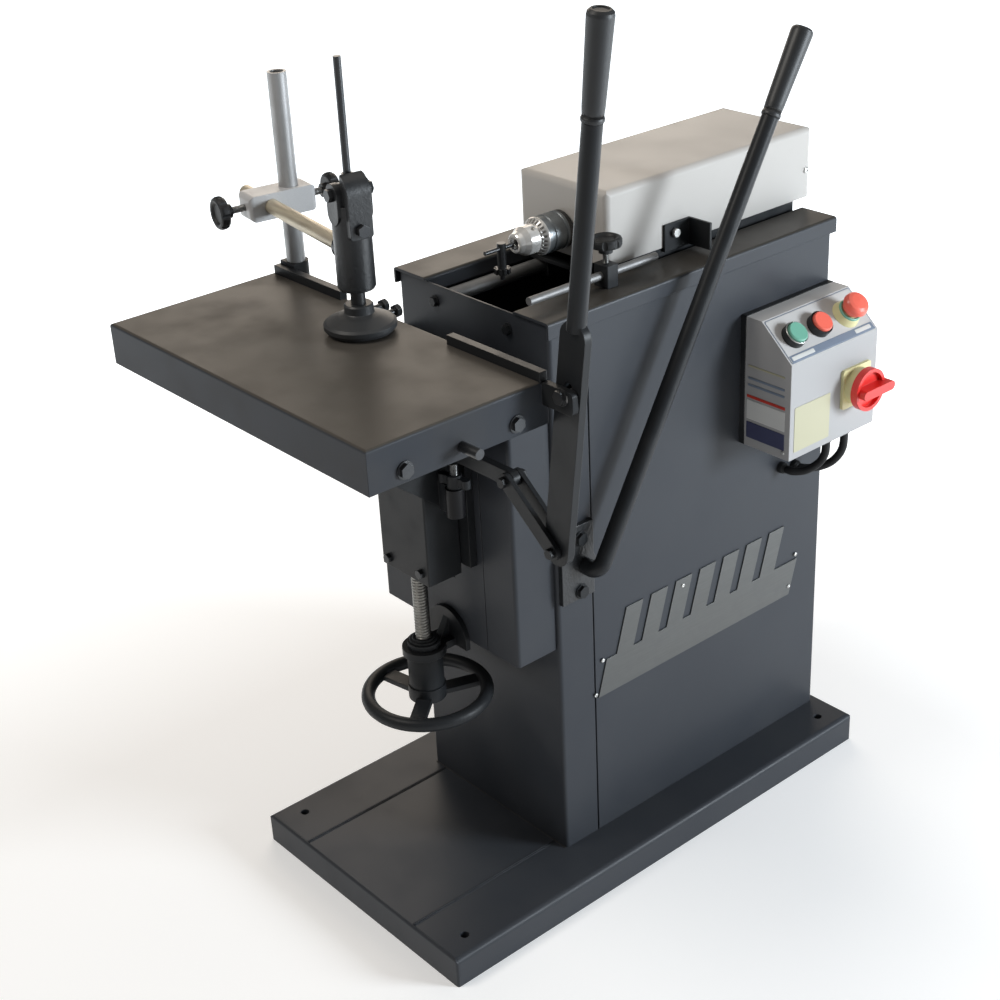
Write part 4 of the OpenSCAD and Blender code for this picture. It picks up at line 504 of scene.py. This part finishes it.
def plate(width, height, thick, corner=2.0):
    # A circle's points pushed out to four corner centres, raised in steps and drawn in at the top edge
    around = plateEdge["around"]
    angle = circle(around) + np.pi / around
    unit = np.stack((np.cos(angle), np.sin(angle)), axis=-1)
    half = np.array((width, height)) / 2 - corner
    inset = min(plateEdge["inset"] * thick, corner / 2)
    rings = [np.column_stack((unit * (corner - drawn) + np.sign(unit) * half, np.full(around, rise)))
             for drawn, rise in ((0, 0), (0, plateEdge["wall"] * thick), (inset, thick))]
    return skin(np.array(rings) / 1000)


# Thread ridges: steepness of the flanks, the offset that leaves the crest flat, and the fewest rows of points
ridge = {"flank": 1.6, "flat": 0.3, "fewestRows": 3}


def threaded(spec):
    # Radius swings between crest and root once each pitch, shifted by the angle so that the ridge climbs
    angle = circle(spec["around"])
    rows = max(ridge["fewestRows"], int(spec["length"] / spec["pitch"] * spec["rowsPerTurn"]))
    height = np.linspace(0, spec["length"], rows)[:, None]
    wave = np.abs(2 * ((height / spec["pitch"] - angle / (2 * np.pi)) % 1) - 1)
    radius = spec["crest"] - spec["depth"] * np.clip(ridge["flank"] * wave - ridge["flat"], 0, 1)
    return skin(roundRings(radius, angle, height) / 1000)


# Below this sine of the angle to the Z axis a direction counts as upright
upright = 0.01


def facing(shape, place, toward):
    # Turns a shape so that its Z points along toward and its X stays level
    z = np.array(toward, float) / np.linalg.norm(toward)
    level = np.cross((0, 0, 1), z)
    sine = np.linalg.norm(level)
    x = level / sine if sine > upright else np.array((1.0, 0, 0))
    return shape[0] @ np.array((x, np.cross(z, x), z)) + place, shape[1]


# Points of the fine curve for each point that it is drawn through
fineness = 20


def smoothCurve(points, count):
    # Cubic pieces through the points with slopes from their neighbours, then equal steps along the length
    points = np.array(points, float)
    ends = np.vstack((2 * points[0] - points[1], points, 2 * points[-1] - points[-2]))
    t = np.linspace(0, len(points) - 1, fineness * len(points))
    i = np.minimum(t.astype(int), len(points) - 2)
    u = (t - i)[:, None]
    a, b, c, d = ends[i], ends[i + 1], ends[i + 2], ends[i + 3]
    fine = b + 0.5 * u * (c - a + u * (2 * a - 5 * b + 4 * c - d + u * (3 * (b - c) + d - a)))
    run = np.concatenate(([0], np.cumsum(np.linalg.norm(np.diff(fine, axis=0), axis=1))))
    steps = np.linspace(0, run[-1], count)
    return np.stack([np.interp(steps, run, fine[:, k]) for k in range(3)], axis=-1), run[-1]


def swept(path, radius, around, hint):
    # A circle of the given radius at each point of the path, square to the path's slope
    slope = np.gradient(path, axis=0)
    slope /= np.linalg.norm(slope, axis=1)[:, None]
    side = np.cross(slope, hint)
    side /= np.linalg.norm(side, axis=1)[:, None]
    angle = circle(around)[None, :, None]
    ring = np.cos(angle) * side[:, None] + np.sin(angle) * np.cross(slope, side)[:, None]
    return skin(path[:, None] + radius * ring)


# Faces that meet at more than this angle, in radians, keep a sharp edge
sharpAngle = 0.6


def addPiece(name, shapes, finish, body):
    points, faces = [], []
    for corners, blocks in shapes:
        faces += [face for block in blocks for face in (block + len(points)).tolist()]
        points += corners.tolist()
    mesh = bpy.data.meshes.new(name)
    mesh.from_pydata(points, [], faces)
    mesh.shade_smooth()
    mesh.set_sharp_from_angle(angle=sharpAngle)
    mesh.materials.append(materials[finish])
    piece = bpy.data.objects.new(name, mesh)
    bpy.context.scene.collection.objects.link(piece)
    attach(piece, body)
    return piece


# Two leads from the control box into the column, on the CAD route: diameter in metres, and points in
# millimetres from the box's lower corner
leads = {"diameter": 0.013, "corner": (164, 387, 627), "count": 33, "around": 24,
         "hint": (0.62, -0.78, 0.0),
         "leadLong": [(66, 174, -22), (66, 174, -34), (65, 173, -48), (60, 170, -62), (51, 164, -75),
                      (40, 156, -83), (28, 145, -87), (20, 137, -87), (12, 132, -87)],
         "leadShort": [(66, 130, -22), (66, 130, -32), (65, 129, -44), (60, 126, -57), (51, 120, -68),
                       (40, 112, -76), (28, 104, -79), (20, 100, -79), (12, 100, -79)]}
# A gland in the box's floor and a bush in the column's side: metres from the lead's ends to those faces,
# and outlines from them in millimetres
gland = {"rise": (0, 0, 0.022), "washer": [(12, 0), (12, 1.6), (11.5, 2)], "hexagon": (20.5, 9, 1.8),
         "nut": [(9.0, 10.6), (9.6, 11.6), (9.6, 15.5), (9.0, 17.0), (8.8, 19.0), (7.6, 21.6), (7.0, 22.0),
                 (6.6, 22.0)],
         "setBack": (0.012, 0, 0),
         "bush": [(9.5, 0), (9.5, 6.0), (9.0, 8.5), (8.2, 8.9), (8.2, 10.2), (7.4, 11.8), (6.6, 12.0)]}
glands = []
for name in ("leadLong", "leadShort"):
    route = [spot(*np.add(leads["corner"], point)) for point in leads[name]]
    path, length = smoothCurve(route, leads["count"])
    tube = swept(path, leads["diameter"] / 2, leads["around"], leads["hint"])
    lead = addPiece(name, [tube], "cableRubber", "frame")
    for shape in (turned(gland["washer"]), hexHead(*gland["hexagon"]), turned(gland["nut"])):
        glands.append(facing(shape, route[0] + gland["rise"], (0, 0, -1)))
    glands.append(facing(turned(gland["bush"]), route[-1] - gland["setBack"], (1, 0, 0)))
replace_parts(addPiece("cableGlands", glands, "blackPlastic", "frame"), "control_cables")
print("leads and glands made")

# Trapezoid lift thread in place of the plain screw
liftThread = {"pitch": 5.0, "depth": 1.7, "rowsPerTurn": 8, "around": 32}
low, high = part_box("lift_screw")
liftThread.update(crest=(high.x - low.x) * 500, length=(high.z - low.z) * 1000)
foot = ((low.x + high.x) / 2, (low.y + high.y) / 2, low.z)
screw = facing(threaded(liftThread), foot, (0, 0, 1))
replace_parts(addPiece("liftThread", [screw], "screwSteel", "knee"), "lift_screw")

# Stepped washer round the screw, on the lift nut's collar
collar = {"around": 48, "steps": [(21.5, -0.2), (21.5, 2.6), (20.6, 3.4), (17.8, 3.4), (17.2, 4.2),
                                  (17.2, 5.6), (16.6, 6.2), (13.4, 6.2), (13.4, -0.2)]}
seat = (foot[0], foot[1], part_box("lift_nut")[1].z)
washer = facing(turned(collar["steps"], collar["around"], True), seat, (0, 0, 1))
addPiece("collarWasher", [washer], "castPaint", "wheel")

# The clamp block's knobs: a point on the post's axis, the arm's turn about it, and metres out to each stud
clamp = {"axis": spot(-272, -106, 1048), "lean": math.radians(8.5), "barStud": 0.0723, "postStud": 0.0343}
armY = np.array((math.sin(clamp["lean"]), math.cos(clamp["lean"]), 0))
# Fine threads on the visible studs: name, body, foot, direction, radius and length
studs = {"pitch": 1.6, "depth": 0.85, "rowsPerTurn": 7, "around": 24, "proud": 0.3, "rows": [
    ("barKnobThread", "bar_lock", clamp["axis"] - clamp["barStud"] * armY, -armY, 5.0, 21.4),
    ("postKnobThread", "post_lock", clamp["axis"] + clamp["postStud"] * armY, armY, 5.0, 17.4),
    ("stopKnobThread", "depth_lock", spot(120, 151, 973.3), (0, 0, 1), 4.0, 15.4),
    ("lockStudThread", "knee", spot(92, -121.1, 730.0), (0, 0, 1), 6.0, 17.6)]}
for name, body, place, toward, radius, length in studs["rows"]:
    thread = threaded(dict(studs, crest=radius + studs["proud"], length=length))
    addPiece(name, [facing(thread, place, toward)], "zincBolt", body)
print("threads made")

# Control box dressing, plain stripes and plates, on the slanted panel, the front face and the left face
panel = {"middle": (234, 811), "normal": (0.669, 0, 0.743), "climb": (-0.743, 0, 0.669),
         "front": 264, "left": 387, "frontThick": 0.6, "leftThick": 0.5, "leftCorner": 1}
# On the slanted panel: name, finish, place across and up the slant, width, height, thickness, corner
panelPlates = [("panelStripe", "labelSlate", 487, -31.5, 190, 12, 0.9, 1.5),
               ("panelStripeLeft", "labelWhite", 420, -31.5, 50, 7, 1.2, 1.5),
               ("panelStripeRight", "labelWhite", 558, -31.5, 36, 7, 1.2, 1.5),
               # A dark plate just larger than the sheet, showing round its edge: painted shadow of the gap
               # round the sheet
               ("panelEdge", "labelSlate", 487, 0, 195, 77, 0.3, 3),
               ("panelSheet", "boxPaint", 487, 0, 192.6, 74.6, 0.6, 3)]
# On the two upright faces: name, finish, place across and up, width, height
frontPlates = [("frontPlate", "labelYellow", 438, 675, 82, 74)]
leftBands = [("sideBandTop", "labelYellow", 216, 761, 72, 3),
             ("sideBandUpper", "labelSlate", 216, 741, 72, 4),
             ("sideBandUpperTwo", "labelSlate", 216, 730, 72, 4),
             ("sideBandRed", "labelRed", 216, 711, 76, 5),
             ("sideBandWhite", "labelWhite", 216, 689, 76, 32),
             ("sideBandBlue", "labelBlue", 216, 655, 76, 27)]
# Rings round two buttons: name, place across the panel, finish, slot and closed outline
buttonRings = {"around": 56, "rows": [
    ("emergencyRing", 544, "greenPlastic", "green_plastic",
     [(15.9, 12.0), (18.9, 12.0), (18.7, 14.6), (18.0, 15.4), (16.4, 15.4), (15.9, 14.6)]),
    ("startRing", 422, "zincBolt", "bright_steel",
     [(17.2, 12.4), (19.4, 12.4), (19.4, 13.2), (18.7, 14.2), (17.7, 14.2), (17.2, 13.4)])]}


def onPanel(shape, y, climb=0):
    x, z = panel["middle"]
    return facing(shape, spot(x, y, z) + climb * np.array(panel["climb"]) / 1000, panel["normal"])


for name, finish, y, climb, width, height, thick, corner in panelPlates:
    stripe = onPanel(plate(width, height, thick, corner), y, climb)
    addPiece(name, [stripe], finish, "frame")
for name, finish, y, z, width, height in frontPlates:
    bare = facing(plate(width, height, panel["frontThick"]), spot(panel["front"], y, z), (1, 0, 0))
    addPiece(name, [bare], finish, "frame")
for name, finish, x, z, width, height in leftBands:
    stripe = plate(width, height, panel["leftThick"], panel["leftCorner"])
    addPiece(name, [facing(stripe, spot(x, panel["left"], z), (0, -1, 0))], finish, "frame")
for name, y, finish, slot, outline in buttonRings["rows"]:
    addPiece(name, [onPanel(turned(outline, buttonRings["around"], True), y)], finish, "frame")
print("control box dressed")

# Small fasteners: place, direction, then a pan head's radius and height, a hexagon's width and height,
# or a bolt's width and reach
plateHoles = [(85, 364), (69, 308), (260, 423), (529, 371), (514, 316)]
fasteners = {
    "coverScrews": (panHead, "zincBolt", "head", "bright_steel",
                    [((92.4, 609, 995), (1, 0, 0), 5, 3.2), ((-92.4, 609, 995), (-1, 0, 0), 5, 3.2)]),
    "plateScrews": (panHead, "zincBolt", "frame", "bright_steel",
                    [((165.9, y, z), (1, 0, 0), 3.6, 2.0) for y, z in plateHoles]),
    "boxScrews": (panHead, "zincBolt", "frame", "bright_steel",
                  [((252, 387.1, 638), (0, -1, 0), 3.6, 2.2), ((252, 586.9, 638), (0, 1, 0), 3.6, 2.2)]),
    "stopAngleBolt": (hexHead, "zincBolt", "head", "bright_steel", [((97.0, 313, 971), (1, 0, 0), 13, 6)]),
    "kneeBoxBolts": (hexHead, "blackSteel", "knee", "blackened_steel",
                     [((-39, -150, 558), (0, -1, 0), 13, 6), ((37, -150, 561), (0, -1, 0), 13, 6)]),
    "apronBolts": (hexBolt, "blackSteel", "table", "blackened_steel",
                   [((-84, -122.1, 925.5), (0, 1, 0), 17, 28), ((-54, -122.1, 925.5), (0, 1, 0), 17, 28)])}
for name, (shape, finish, body, slot, places) in fasteners.items():
    heads = [facing(shape(wide, tall), spot(*place), toward) for place, toward, wide, tall in places]
    addPiece(name, heads, finish, body)

# Thin lips along both sides of the tray's seams, and a thin bead along the column's front foot put there as a
# painted highlight of the front plate's lower edge, with radius and ends in millimetres
seams = {"radius": 0.9, "steps": 12, "around": 12, "hint": (0.1, 0.2, 1), "rows": [
    ("trayLips", "framePaint", [((x, -286, 50.0), (x, -2, 50.0)) for x in (-138.2, -135.0, 135.0, 138.2)]),
    ("footFiller", "railPaint", [((-162, -0.6, 50.5), (162, -0.6, 50.5))])]}
for name, finish, runs in seams["rows"]:
    paths = [np.linspace(spot(*start), spot(*end), seams["steps"]) for start, end in runs]
    tubes = [swept(path, seams["radius"] / 1000, seams["around"], seams["hint"]) for path in paths]
    addPiece(name, tubes, finish, "frame")
print("fasteners and seams made")
